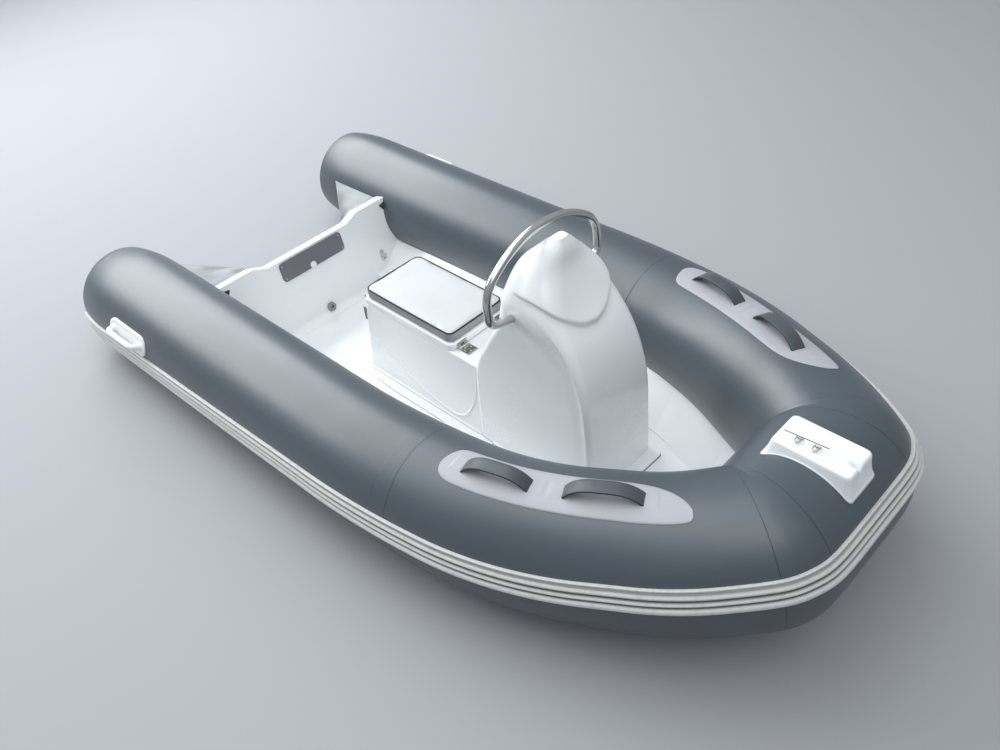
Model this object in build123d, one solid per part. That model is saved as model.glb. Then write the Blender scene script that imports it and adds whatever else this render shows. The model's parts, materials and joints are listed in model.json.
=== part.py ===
"""Small rigid-bottomed inflatable boat with a seat box, a console and a grab rail.

Millimetres. +X runs to the bow, +Y to port, +Z up. The origin is on the centreline,
amidships, at the waterline.
Pieces that come in pairs are drawn on the port side and mirrored to starboard.
"""
import os
from math import asin, atan, cos, radians, sin, tan

from build123d import *

# ---- inflatable tubes ----------------------------------------------------------------------------
TUBE_R = 190.0              # radius of the side tubes
BOW_TUBE_R = 212.0          # radius of the bow tube, which the side tubes grow to
TUBE_SPACING = 1136.0       # between the side tubes' centrelines
STERN_X = -1374.0           # ring seam at the tubes' stern ends
CHAMBER_S = 1667.0          # distance along the tube where the side chamber meets the bow chamber
CONE_LENGTH = 160.0         # rounded stern end, forward of the ring seam
CONE_DROP = 18.0            # how much smaller the ring seam is than the tube
DOME = 26.0                 # bulge of the end cap behind the ring seam
CORNER_FLAT = 14.0          # half the length of the gusset's centreline at each bow corner
GLUE_GAP = 0.2              # kept between the tubes and what is glued to them

# centreline of the port tube: x, y as a share of half the spacing, height, tangent length of the bend there
TUBE_CORNERS = (
    # x, y share, z, bend
    (STERN_X, 1.0, 182.0, 0.0),
    (177.0, 1.0, 214.0, 202.0),
    (630.0, 0.9, 227.0, 209.0),
    (1008.0, 0.563, 271.0, 108.0),
    (1173.0, 0.3134, 310.0, 0.0),
)

# ---- rub strake ----------------------------------------------------------------------------------
STRAKE_BAND = 8.0           # thickness in the grooves between its ribs
STRAKE_TOP = (-1.0, 31.0)   # angle of its top edge above the tube's outboard side, at stern and bow
STRAKE_FOOT = (-22.0, 13.0)  # the same for its lower edge
# lip, two ribs and lower bead, from the top: width as a share of the band's, and bulge
STRAKE_RIBS = ((0.12, 2.0), (0.24, 5.0), (0.24, 5.0), (0.40, 9.0))

# ---- hull and deck -------------------------------------------------------------------------------
SOLE_Z = 10.0               # height of the cockpit sole
WELL_Z = -45.0              # height of the sole at the transom, where it drains
WELL_X = -500.0             # where the sole starts to fall towards the transom
SOLE_T = 12.0               # thickness of the deck moulding under the sole
TRANSOM_X = -977.0          # aft face of the transom at its top edge
TRANSOM_T = 42.0
TRANSOM_RAKE = 14.0         # degrees that the transom leans aft
TRANSOM_TOP = 249.0         # height of its top edge at the motor
TRANSOM_SHOULDER = 272.0    # height of its top edge at the tubes
MOTOR_WIDTH = 386.0         # width of the lower part of the top edge
MOTOR_SLOPE = 60.0          # width over which it rises to the shoulder
KEEL_Z = -180.0
CHINE_Y = 400.0
CHINE_FLARE = 30.0          # how far the side stands outside the chine
CHINE_RISE = 20.0
MOULD_TOP = 240.0           # the mouldings are drawn up to here and cut back by tubes and rim

# hull sections: x, keel height, chine half-width, chine height
HULL_SECTIONS = (
    (-960.0, KEEL_Z + 15.0, CHINE_Y, -20.0),
    (-300.0, KEEL_Z, CHINE_Y, -15.0),
    (350.0, KEEL_Z, 375.0, 0.0),
    (750.0, KEEL_Z + 30.0, 290.0, 30.0),
    (1010.0, KEEL_Z + 95.0, 165.0, 70.0),
    (1180.0, 40.0, 40.0, 120.0),
)

# ---- seat box, lid and cushion -------------------------------------------------------------------
SEAT_AFT = -437.0
SEAT_LENGTH = 440.0
SEAT_WIDTH = 272.0
SEAT_TOP = 365.0            # top of the cushion
CUSHION_T = 40.0
LID_T = 24.0
LID_GAP = 1.0
BOX_WALL = 6.0
BOX_DRAFT_AFT = 30.0        # how far the aft face runs out at its foot
BOX_DRAFT_SIDE = 4.0

# ---- console -------------------------------------------------------------------------------------
CONSOLE_AFT = 115.0
# console sections: height, aft face, front face, half width, corner radius
CONSOLE_SECTIONS = (
    (SOLE_Z, CONSOLE_AFT, 594.0, 153.0, 22.0),
    (300.0, CONSOLE_AFT + 3.0, 581.0, 151.0, 24.0),
    (430.0, 168.0, 560.0, 148.0, 32.0),
    (540.0, 222.0, 516.0, 148.0, 46.0),
    (640.0, 232.0, 447.0, 147.0, 70.0),
    (730.0, 254.0, 405.0, 108.0, 68.0),
    (790.0, 312.0, 393.0, 48.0, 36.0),
    (822.0, 350.0, 379.0, 14.0, 10.0),
)

# ---- grab rail -----------------------------------------------------------------------------------
RAIL_R = 12.5
RAIL_X = 299.0
RAIL_HALF = 238.0           # from the centreline to a leg
RAIL_SHOULDER_Z = 685.0     # where the legs start to bend over
RAIL_RISE = 144.0
RAIL_LEAN = -4.0            # degrees
RAIL_SIDE_R = 95.0


def export(shape, node):
    """Write one node's STEP file."""
    export_step(shape, f"parts/{node}.step")


def both_sides(shape, node):
    """Write a port piece and its mirror image."""
    export(shape, f"{node}_port")
    export(mirror(shape, about=Plane.XZ), f"{node}_starboard")


# ---- the tube's centreline -----------------------------------------------------------------------
def corner_points():
    """Corners of the port tube's centreline, with their bends."""
    half = TUBE_SPACING / 2
    return [(Vector(x, share * half, z), bend) for x, share, z, bend in TUBE_CORNERS]


def centreline():
    """Straight runs and tangent arcs of the port tube, from the stern ring to the bow corner."""
    corners = corner_points()
    edges = []
    start = corners[0][0]
    for (before, _), (corner, bend), (after, _) in zip(corners, corners[1:], corners[2:]):
        run_in = (corner - before).normalized()
        run_out = (after - corner).normalized()
        arc_start = corner - run_in * bend
        arc_end = corner + run_out * bend
        edges.append(Edge.make_line(start, arc_start))
        edges.append(Edge.make_tangent_arc(arc_start, run_in, arc_end))
        start = arc_end
    edges.append(Edge.make_line(start, corners[-1][0]))
    return edges


RUNS = centreline()
RUN_ENDS = [sum(edge.length for edge in RUNS[:i + 1]) for i in range(len(RUNS))]
PATH = Wire(RUNS)


def tube_plane(distance):
    """Section plane at a distance along the port tube: x outboard, y up, z along the tube."""
    origin = PATH.position_at(distance, position_mode=PositionMode.LENGTH)
    along = PATH.tangent_at(distance, position_mode=PositionMode.LENGTH)
    return Plane(origin, x_dir=Vector(0, 0, 1).cross(along), z_dir=along)


def tube_radius(distance):
    """Radius of the tube at a distance along it."""
    first_bend, last_bend = RUN_ENDS[0], RUN_ENDS[-2]
    growth = min(max((distance - first_bend) / (last_bend - first_bend), 0.0), 1.0)
    taper = max(1.0 - distance / CONE_LENGTH, 0.0)
    return TUBE_R + (BOW_TUBE_R - TUBE_R) * growth - CONE_DROP * taper ** 2


def surface_plane(distance, angle, lift=0.0):
    """Plane on the tube's skin: x along the tube, z out of it; angle is degrees above the outboard side."""
    section = tube_plane(distance)
    turn = radians(angle)
    outward = section.x_dir * cos(turn) + section.y_dir * sin(turn)
    origin = section.origin + outward * (tube_radius(distance) + lift)
    return Plane(origin, x_dir=section.z_dir, z_dir=outward)


# ends of the stern cone and of each straight run and bend up to the bow corner; every other one is curved
LOFT_ENDS = [CONE_LENGTH, *RUN_ENDS[:-1]]


def along_tube(section, first=0.0, last=LOFT_ENDS[-1], twist_step=9999.0):
    """Solids that follow the port tube between two distances; section gives the face at a distance.

    A section that turns about the tube has one face to each twist_step on the straight runs.
    """
    lengths = []
    begin = 0.0
    for i, end in enumerate(LOFT_ENDS):
        if begin < last and end > first:
            if i % 2:
                low, high = max(begin, first), min(end, last)
                count = 1 + int((high - low) / twist_step)
                length = loft([section(low + (high - low) * k / count) for k in range(count + 1)])
            else:
                length = loft([section(begin), section((begin + end) / 2), section(end)])
                if first > begin:
                    length = keep_ahead(length, tube_plane(first))
                if last < end:
                    length = keep_behind(length, tube_plane(last))
            lengths += length.solids()
        begin = end
    return lengths


def joined(solids):
    """One solid from solids that touch."""
    return solids[0].fuse(*solids[1:]) if len(solids) > 1 else solids[0]


def tube_section(grow=0.0):
    """Function that gives the tube's section at a distance, its skin moved out by grow."""
    return lambda s: tube_plane(s) * Circle(tube_radius(s) + grow)


# ---- bow corners ---------------------------------------------------------------------------------
def reflect(vector, normal):
    """Mirror a direction in a plane."""
    return vector - normal * (2 * vector.dot(normal))


BOW_CORNER = corner_points()[-1][0]
SIDE_RUN = (BOW_CORNER - corner_points()[-2][0]).normalized()
FRONT_RUN = Vector(0, -1, 0)
GUSSET_A = BOW_CORNER - SIDE_RUN * CORNER_FLAT
GUSSET_B = BOW_CORNER + FRONT_RUN * CORNER_FLAT
GUSSET_RUN = (GUSSET_B - GUSSET_A).normalized()
MITRE_A = Plane(GUSSET_A, z_dir=SIDE_RUN + GUSSET_RUN)
MITRE_B = Plane(GUSSET_B, z_dir=GUSSET_RUN + FRONT_RUN)
SIDE_OUT = Vector(0, 0, 1).cross(SIDE_RUN).normalized()
GUSSET_OUT = reflect(SIDE_OUT, MITRE_A.z_dir)
FRONT_OUT = reflect(GUSSET_OUT, MITRE_B.z_dir)


def keep_behind(shape, plane):
    """The part of a shape on a plane's back side."""
    return split(shape, bisect_by=plane, keep=Keep.BOTTOM)


def keep_ahead(shape, plane):
    """The part of a shape on a plane's front side."""
    return split(shape, bisect_by=plane, keep=Keep.TOP)


def bow_runs(section):
    """Three straight lengths of a section round the port bow corner: side run, gusset, half the front."""
    reach = 2.2 * BOW_TUBE_R
    side_start = tube_plane(RUN_ENDS[-2])
    side = extrude(side_start * section, reach + RUNS[-1].length)
    gusset_start = Plane(GUSSET_A - GUSSET_RUN * reach, x_dir=GUSSET_OUT, z_dir=GUSSET_RUN)
    gusset = extrude(gusset_start * section, 2 * reach)
    front_length = reach + GUSSET_B.Y
    front_start = Plane(GUSSET_B - FRONT_RUN * reach, x_dir=FRONT_OUT, z_dir=FRONT_RUN)
    front = extrude(front_start * section, front_length)
    return (keep_behind(side, MITRE_A), keep_behind(keep_ahead(gusset, MITRE_A), MITRE_B),
            keep_ahead(front, MITRE_B))


# ---- tubes ---------------------------------------------------------------------------------------
def bow_half(grow=0.0):
    """Port half of the bow chamber, as solids that touch."""
    curved = along_tube(tube_section(grow), CHAMBER_S)
    return curved + [solid for run in bow_runs(Circle(BOW_TUBE_R + grow)) for solid in run.solids()]


def whole_ring(grow=0.0):
    """The whole ring of tubes as solids that touch, to cut what rests on it."""
    port = along_tube(tube_section(grow), 0.0, CHAMBER_S) + bow_half(grow)
    return port + [mirror(solid, about=Plane.XZ) for solid in port]


def stern_cone():
    """Rounded stern end of a tube, with a shallow dome behind the ring seam."""
    ring = TUBE_R - CONE_DROP
    rim = ring - 22.0
    edge_z = -16.0
    sag = DOME + edge_z
    sphere_r = (rim ** 2 + sag ** 2) / (2 * sag)
    half_turn = asin(rim / sphere_r) / 2
    middle = (sphere_r * sin(half_turn), sphere_r * (1 - cos(half_turn)) - DOME)
    profile = make_face([
        Edge.make_line((0, 0), (ring, 0)),
        Edge.make_three_point_arc((ring, 0), (ring - 5.0, -10.0), (rim, edge_z)),
        Edge.make_three_point_arc((rim, edge_z), middle, (0, -DOME)),
        Edge.make_line((0, -DOME), (0, 0)),
    ])
    dome = tube_plane(0.0) * revolve(Plane.XZ * profile, axis=Axis.Z)
    return joined([*along_tube(tube_section(), 0.0, CONE_LENGTH), *dome.solids()])


# ---- what is fixed to the tubes ------------------------------------------------------------------
PATCH_T = 2.5               # reinforcing patch under the carry straps
PATCH_ENDS = (1789.0, 2490.0)
PATCH_ANGLES = (70.0, 106.0)
STRAP_ENDS = ((1857.0, 2064.0), (2153.0, 2368.0))
STRAP_ANGLE = 88.5
STRAP_WIDTH = 44.0
STRAP_T = 5.0
STRAP_RISE = 30.0           # clear height under the middle of a strap
STRAP_PAD = 24.0            # flat length at each end
HANDLE_S = 365.0            # middle of the stern handle along the tube
HANDLE_ANGLE = 17.0
HANDLE_PLATE = (236.0, 78.0, 6.0)  # length, width, thickness
HANDLE_GRIP = 26.0          # thickness of the moulded grip
HANDLE_REACH = 46.0         # how far the grip stands off the tube
HANDLE_SPAN = 150.0         # length of the grip's opening
WEB_T = 3.0
WEB_LENGTH = 280.0          # how far the fabric webs run aft of the transom
WEB_Y = 397.0               # where a web meets its tube
WEB_SEAM = 34.0             # width of the web's lap on the tube
RING_PATCH_R = 42.0
RING_R = 22.0
RING_WIRE = 4.0
RING_LUG = 16.0             # size of the lug that holds the ring
RING_PATCH_T = 3.0
RING_ANGLE = -64.0


def polar(radius, angle):
    """Point of a tube section at an angle above its outboard side."""
    return Vector(radius * cos(radians(angle)), radius * sin(radians(angle)))


def band_face(radius, foot, top, thickness):
    """Plain section of a band on the tube, between two angles."""
    middle = (foot + top) / 2
    return make_face([
        Edge.make_three_point_arc(polar(radius, foot), polar(radius, middle), polar(radius, top)),
        Edge.make_line(polar(radius, top), polar(radius + thickness, top)),
        Edge.make_three_point_arc(polar(radius + thickness, top), polar(radius + thickness, middle),
                                  polar(radius + thickness, foot)),
        Edge.make_line(polar(radius + thickness, foot), polar(radius, foot)),
    ])


def strake_face(radius, foot, top):
    """Section of the rub strake: a flat band with ribs that bulge from it."""
    band = radius + STRAKE_BAND
    edges = [
        Edge.make_three_point_arc(polar(radius, foot), polar(radius, (foot + top) / 2), polar(radius, top)),
        Edge.make_line(polar(radius, top), polar(band, top)),
    ]
    angle = top
    for share, bulge in STRAKE_RIBS:
        end_angle = angle - share * (top - foot)
        peak = polar(band + bulge, (angle + end_angle) / 2)
        edges.append(Edge.make_three_point_arc(polar(band, angle), peak, polar(band, end_angle)))
        angle = end_angle
    edges.append(Edge.make_line(polar(band, foot), polar(radius, foot)))
    return make_face(edges)


def strake_angles(distance):
    """Foot and top angles of the strake at a distance along the tube."""
    share = distance / RUN_ENDS[-1]
    return tuple(a + (b - a) * share for a, b in (STRAKE_FOOT, STRAKE_TOP))


def strake_section(distance):
    """Strake section in place at a distance along the tube."""
    return tube_plane(distance) * strake_face(tube_radius(distance) + GLUE_GAP, *strake_angles(distance))


def strake_bow():
    """The strake round the bow, with mitred corners, in line with both side lengths."""
    foot, top = strake_angles(RUN_ENDS[-2])
    section = strake_face(BOW_TUBE_R + GLUE_GAP, foot, top)
    half = [solid for run in bow_runs(section) for solid in run.solids()]
    other = [mirror(solid, about=Plane.XZ) for solid in half]
    return half[0].fuse(*half[1:], *other)


def patch():
    """Reinforcing patch that carries the straps."""
    def section(s):
        return tube_plane(s) * band_face(tube_radius(s) + GLUE_GAP, *PATCH_ANGLES, PATCH_T)

    return joined(along_tube(section, *PATCH_ENDS))


def strap(first, last, skin):
    """Arched carry strap, its ends flat on the patch."""
    base = surface_plane((first + last) / 2, STRAP_ANGLE, PATCH_T)
    half = (last - first) / 2
    foot = half - STRAP_PAD
    sunk = -10.0
    arch = make_face([
        Edge.make_three_point_arc((-foot, 0), (0, STRAP_RISE), (foot, 0)),
        Edge.make_line((foot, 0), (foot, sunk)),
        Edge.make_line((foot, sunk), (half, sunk)),
        Edge.make_line((half, sunk), (half, STRAP_T)),
        Edge.make_line((half, STRAP_T), (foot, STRAP_T)),
        Edge.make_three_point_arc((foot, STRAP_T), (0, STRAP_RISE + STRAP_T), (-foot, STRAP_T)),
        Edge.make_line((-foot, STRAP_T), (-half, STRAP_T)),
        Edge.make_line((-half, STRAP_T), (-half, sunk)),
        Edge.make_line((-half, sunk), (-foot, sunk)),
        Edge.make_line((-foot, sunk), (-foot, 0)),
    ])
    upright = Plane(base.origin, x_dir=base.x_dir, z_dir=base.x_dir.cross(base.z_dir))
    return biggest(extrude(upright * arch, STRAP_WIDTH / 2, both=True) - skin)


def stern_handle():
    """Moulded grab handle on a rounded plate, on the outer side of the tube near the stern."""
    length, width, thickness = HANDLE_PLATE
    base = surface_plane(HANDLE_S, HANDLE_ANGLE)
    centre = Plane(tube_plane(HANDLE_S).origin, z_dir=base.x_dir)
    tube = centre * Cylinder(TUBE_R + GLUE_GAP, 2 * length)
    skin = centre * Cylinder(TUBE_R + GLUE_GAP + thickness, 2 * length)
    patch_outline = extrude(base * RectangleRounded(length, width, width * 0.42), width / 2, both=True)
    plate = (skin - tube) & patch_outline
    grip = extrude(base * RectangleRounded(HANDLE_SPAN + 2 * HANDLE_GRIP, HANDLE_GRIP, 8.0), HANDLE_REACH)
    gap_height = 2 * (HANDLE_REACH - HANDLE_GRIP * 0.6)
    grip = grip - base * Box(HANDLE_SPAN, 2 * HANDLE_GRIP, gap_height) - skin
    return plate.solids()[0].fuse(*grip.solids())


def transom_web():
    """Fabric web that closes the corner between the transom's top and the inner side of the tube."""
    aft = TRANSOM_X - 6.0
    inner = Vector(aft, MOTOR_WIDTH / 2 + 8.0, TRANSOM_TOP - 4.0)
    root = Vector(aft, WEB_Y, TRANSOM_SHOULDER - 6.0)
    tip = Vector(TRANSOM_X - WEB_LENGTH, WEB_Y, TRANSOM_SHOULDER - 16.0)
    seam_y = WEB_Y + WEB_SEAM
    plan = [(inner.X, inner.Y), (root.X, root.Y), (root.X, seam_y), (tip.X, seam_y), (tip.X, tip.Y)]
    footprint = make_face(Wire.make_polygon(plan, close=True))
    column = extrude(Pos(0, 0, TRANSOM_TOP - WEB_SEAM) * footprint, 3 * WEB_SEAM)
    slope = Plane(inner, x_dir=(1, 0, 0), z_dir=(tip - inner).cross(root - inner))
    sheet = column & (slope * Box(1000.0, 1000.0, WEB_T))
    return sheet - along_tube(tube_section(GLUE_GAP), 0.0, LOFT_ENDS[1])


def bow_face(lift):
    """Plane on the front of the bow tube at the towing ring: x to port, z out of the skin."""
    turn = radians(RING_ANGLE)
    out = Vector(cos(turn), 0, sin(turn))
    origin = Vector(BOW_CORNER.X, 0, BOW_CORNER.Z) + out * (BOW_TUBE_R + lift)
    return Plane(origin, x_dir=Vector(0, 1, 0), z_dir=out)


def bow_patch():
    """Round patch that carries the towing ring on the front of the bow tube."""
    middle = Plane((BOW_CORNER.X, 0, BOW_CORNER.Z), z_dir=(0, 1, 0))
    tube = middle * Cylinder(BOW_TUBE_R + GLUE_GAP, 400)
    skin = middle * Cylinder(BOW_TUBE_R + GLUE_GAP + RING_PATCH_T, 400)
    disc = extrude(bow_face(-8.0) * Circle(RING_PATCH_R), 14.0) & skin
    return disc - tube


def bow_ring():
    """Towing ring: a moulded lug on the patch, and the ring through it, hanging down."""
    base = bow_face(RING_PATCH_T)
    lug = base * Pos(0, 0, RING_LUG / 2) * Box(RING_LUG, RING_LUG, RING_LUG + 4.0)
    below = base * Pos(0, -RING_R, RING_LUG - RING_WIRE) * Torus(RING_R, RING_WIRE)
    skin = Plane((BOW_CORNER.X, 0, BOW_CORNER.Z), z_dir=(0, 1, 0)) * Cylinder(
        BOW_TUBE_R + GLUE_GAP + RING_PATCH_T + GLUE_GAP, 400)
    return joined([*(lug - skin).solids(), *below.solids()])


# ---- hull, deck and transom ----------------------------------------------------------------------
WELL_HALF = 250.0           # half width of the sole at the transom
DECK_BOW = 1010.0           # where the deck moulding ends under the bow tube
PAD_T = 6.0                 # outboard motor pads
PAD_INNER = (300.0, 78.0)   # width and height of the pad inside the transom
PAD_OUTER = (300.0, 190.0)  # the same outside
PAD_DROP = 8.0              # top of the pads below the transom's top edge
DRAIN_Z = -13.0
DRAIN_NUT_R = 19.0          # to its corners
DRAIN_R = 11.0
EYE_Y = 308.0
EYE_Z = 60.0

COCKPIT_TOP = 220.0         # the room over the sole is cut up to here, above the rim

# inner edge of the sole and of the liner's rim: x, half width at the sole, half width at the rim
COCKPIT = (
    # x, sole, rim
    (-900.0, 300.0, 404.0),
    (-400.0, 240.0, 404.0),
    (300.0, 235.0, 400.0),
    (560.0, 212.0, 345.0),
    (820.0, 140.0, 225.0),
    (930.0, 70.0, 130.0),
)
RIM_ANGLE = atan((145.0 - 85.0) / (900.0 + 400.0))  # the rim rises towards the bow
RIM_AFT_Z = 88.0


def rim_height(x):
    """Height of the deck moulding's rim, where it meets the tubes."""
    return RIM_AFT_Z + (x - TRANSOM_X) * tan(RIM_ANGLE)


def hull_section(x, keel, chine, chine_z):
    """Deep V with hard chines and upright sides that run up behind the tubes."""
    flare = chine + CHINE_FLARE
    turn = chine_z + CHINE_RISE
    points = [(0, keel), (chine, chine_z), (flare, turn), (flare, MOULD_TOP),
              (-flare, MOULD_TOP), (-flare, turn), (-chine, chine_z)]
    frame = Plane((x, 0, 0), x_dir=(0, 1, 0), z_dir=(1, 0, 0))
    return frame * make_face(Wire.make_polygon(points, close=True))


def outline(x_values, halves):
    """Closed symmetric outline from x values and half widths."""
    port = list(zip(x_values, halves))
    return port + [(x, -half) for x, half in reversed(port)]


def cockpit_space():
    """Room inside the deck moulding: from the sole up past the rim."""
    reach = COCKPIT_TOP - SOLE_Z
    low, high = [], []
    for x, sole, rim in COCKPIT:
        low.append(sole)
        high.append(sole + (rim - sole) * reach / (rim_height(x) - SOLE_Z))
    xs = [row[0] for row in COCKPIT]
    spread = xs[:-1] + [xs[-1] + 30.0]
    floor = make_face(Wire.make_polygon(outline(xs, low), close=True))
    mouth = make_face(Wire.make_polygon(outline(spread, high), close=True))
    return loft([Pos(0, 0, SOLE_Z) * floor, Pos(0, 0, COCKPIT_TOP) * mouth], ruled=True)


def mouldings(tubes):
    """Hull and deck mouldings together, ahead of the transom and bedded against the tubes."""
    body = joined([loft([hull_section(*low), hull_section(*high)], ruled=True)
                   for low, high in zip(HULL_SECTIONS, HULL_SECTIONS[1:])])
    return keep_behind(body, transom_plane(TRANSOM_T)) - tubes


def deck_room():
    """Everything from the underside of the deck moulding up to its rim."""
    under = SOLE_Z - SOLE_T
    side = [(STERN_X, WELL_Z - SOLE_T + fall(STERN_X)), (WELL_X, under), (DECK_BOW, under),
            (DECK_BOW, rim_height(DECK_BOW)), (STERN_X, rim_height(STERN_X))]
    profile = Plane.XZ * make_face(Wire.make_polygon(side, close=True))
    return extrude(profile, TUBE_SPACING, both=True)


def over_rim():
    """Everything above the rim, which is cut away."""
    side = [(STERN_X, rim_height(STERN_X)), (-STERN_X, rim_height(-STERN_X)), (-STERN_X, 2 * MOULD_TOP),
            (STERN_X, 2 * MOULD_TOP)]
    return extrude(Plane.XZ * make_face(Wire.make_polygon(side, close=True)), TUBE_SPACING, both=True)


def fall(x):
    """How much lower the sole is at x, aft of the well's start, than at the transom's foot."""
    return (WELL_Z - SOLE_Z) * (TRANSOM_X - x) / (WELL_X - TRANSOM_X)


def well_space():
    """Room over the sloping sole that runs down to the drain."""
    lid_z = SOLE_Z + 1.0
    side = [(WELL_X, SOLE_Z), (STERN_X, WELL_Z + fall(STERN_X)), (STERN_X, lid_z), (WELL_X, lid_z)]
    profile = Plane.XZ * make_face(Wire.make_polygon(side, close=True))
    return extrude(profile, WELL_HALF, both=True)


def transom_plane(depth=0.0):
    """Plane parallel to the transom, depth forward of its aft face: x to starboard, y up, z aft."""
    lean = radians(TRANSOM_RAKE)
    top = Vector(TRANSOM_X, 0, TRANSOM_TOP) + Vector(cos(lean), 0, sin(lean)) * depth
    return Plane(top, x_dir=(0, -1, 0), z_dir=(-cos(lean), 0, -sin(lean)))


def up_transom(z):
    """Distance up the raked face, from the motor cut-out's edge, of a height."""
    return (z - TRANSOM_TOP) / cos(radians(TRANSOM_RAKE))


def transom(tubes):
    """Transom board, keel to top edge, lower where the motor hangs."""
    keel = HULL_SECTIONS[0][1]
    chine = HULL_SECTIONS[0][3]
    shoulder = up_transom(TRANSOM_SHOULDER)
    wide = CHINE_Y + CHINE_FLARE
    port = [(0.0, up_transom(keel)), (CHINE_Y, up_transom(chine)), (wide, up_transom(chine + CHINE_RISE)),
            (wide, up_transom(chine + 3 * CHINE_RISE)), (CHINE_Y + 5.0, shoulder),
            (MOTOR_WIDTH / 2 + MOTOR_SLOPE, shoulder), (MOTOR_WIDTH / 2, 0.0)]
    board = make_face(Wire.make_polygon(port + [(-u, v) for u, v in reversed(port[1:])], close=True))
    return extrude(transom_plane() * board, -TRANSOM_T) - tubes


def hull(body, room):
    """Rigid bottom, solid up to the deck moulding."""
    return biggest(body - room - over_rim())


def biggest(shape):
    """The largest solid of a cut shape."""
    return max(shape.solids(), key=lambda solid: solid.volume)


def deck_liner(body, room):
    """Deck moulding: sole, sloping well and the sides up to the tubes."""
    return biggest((body & room) - cockpit_space() - well_space())


def motor_pads():
    """Pads for the outboard's clamps, inside and outside the transom."""
    top = -PAD_DROP
    pads = []
    for (width, height), plane, thickness in ((PAD_INNER, transom_plane(TRANSOM_T), -PAD_T),
                                              (PAD_OUTER, transom_plane(), PAD_T)):
        plate = Pos(0, top - height / 2) * RectangleRounded(width, height, 16.0)
        pads.append(extrude(plane * plate, thickness))
    return pads


def drain():
    """Drain fitting through the transom: hexagon inside, flange outside, open bore."""
    inner = transom_plane(TRANSOM_T) * Pos(0, up_transom(DRAIN_Z))
    outer = transom_plane() * Pos(0, up_transom(DRAIN_Z))
    nut = extrude(inner * RegularPolygon(DRAIN_NUT_R, 6), -12.0)
    body = extrude(inner * Circle(DRAIN_R), TRANSOM_T)
    flange = extrude(outer * Circle(DRAIN_NUT_R), 4.0)
    bore = extrude(inner * Circle(DRAIN_R - 4.0), 2 * TRANSOM_T, both=True)
    return nut + body + flange - bore


def drain_hole():
    """Hole in the transom for the drain fitting."""
    return extrude(transom_plane() * Pos(0, up_transom(DRAIN_Z)) * Circle(DRAIN_R), -TRANSOM_T)


def wire_eye(plane, span, rise, wire):
    """Bent wire loop that stands on a plane, its two legs span apart."""
    half = span / 2
    loop = FilletPolyline((-half, -2.0), (-half, rise), (half, rise), (half, -2.0), radius=half * 0.95)
    upright = Plane(plane.origin, x_dir=plane.x_dir, z_dir=plane.x_dir.cross(plane.z_dir))
    path = upright * loop
    return sweep((path ^ 0) * Circle(wire / 2), path=path)


def transom_eye():
    """Eye bolt plate on the inside of the transom, near the port tube."""
    face = transom_plane(TRANSOM_T)
    spot = face * Pos(-EYE_Y, up_transom(EYE_Z))
    plate = extrude(spot * SlotOverall(52.0, 20.0, rotation=90), -3.0)
    ahead = Plane((spot * Pos(0, 0, -3.0)).position, x_dir=face.y_dir, z_dir=face.z_dir * -1)
    return plate + wire_eye(ahead, 26.0, 22.0, 6.0)


# ---- seat ----------------------------------------------------------------------------------------
SEAT_FORE = SEAT_AFT + SEAT_LENGTH
BOX_TOP = SEAT_TOP - CUSHION_T - LID_T - LID_GAP
BOX_CORNER = 24.0
CUSHION_CORNER = 30.0
HINGE_Y = 88.0
HINGE_LENGTH = 44.0
KNUCKLE_R = 5.0
PIN_R = 2.5
PIN_CLEAR = 0.05
LEAF_T = 2.5
LEAF_WIDTH = 38.0
HINGE_AHEAD = 9.0           # hinge axis ahead of the lid's front edge
CONSOLE_GAP = 1.0           # joint between seat box and console
LATCH_Y = 112.0
LATCH_SIZE = (9.0, 18.0, 56.0)
LATCH_BELOW = 38.0          # top of the latch plate below the lid
CATCH_HEIGHT = 16.0


def seat_block(aft, fore, half, low, high, corner, draft_aft=0.0, draft_side=0.0):
    """Upright block with rounded corners that widens towards its foot."""
    faces = []
    for z, share in ((low, 1.0), (high, 0.0)):
        back = aft - draft_aft * share
        width = 2 * (half + draft_side * share)
        faces.append(Pos((back + fore) / 2, 0, z) * RectangleRounded(fore - back, width, corner))
    return loft(faces)


def seat_box():
    """Moulded locker under the seat, its shelf running forward to the console."""
    half = SEAT_WIDTH / 2
    fore = CONSOLE_AFT - CONSOLE_GAP
    outer = seat_block(SEAT_AFT, fore + 40.0, half, SOLE_Z, BOX_TOP, BOX_CORNER,
                       BOX_DRAFT_AFT, BOX_DRAFT_SIDE)
    outer = keep_behind(outer, Plane((fore, 0, 0), z_dir=(1, 0, 0)))
    room = seat_block(SEAT_AFT + BOX_WALL, SEAT_FORE - 14.0, half - BOX_WALL - 8.0, SOLE_Z + BOX_WALL,
                      BOX_TOP + 1.0, BOX_CORNER - BOX_WALL)
    return outer - room


def seat_lid():
    """Lid that closes the locker and carries the cushion."""
    foot = BOX_TOP + LID_GAP
    return seat_block(SEAT_AFT, SEAT_FORE, SEAT_WIDTH / 2, foot, foot + LID_T, BOX_CORNER)


def cushion():
    """Cushion on the lid."""
    block = seat_block(SEAT_AFT, SEAT_FORE, SEAT_WIDTH / 2, SEAT_TOP - CUSHION_T, SEAT_TOP, CUSHION_CORNER)
    return fillet(block.faces().sort_by(Axis.Z)[-1].edges(), 5.0)


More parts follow.
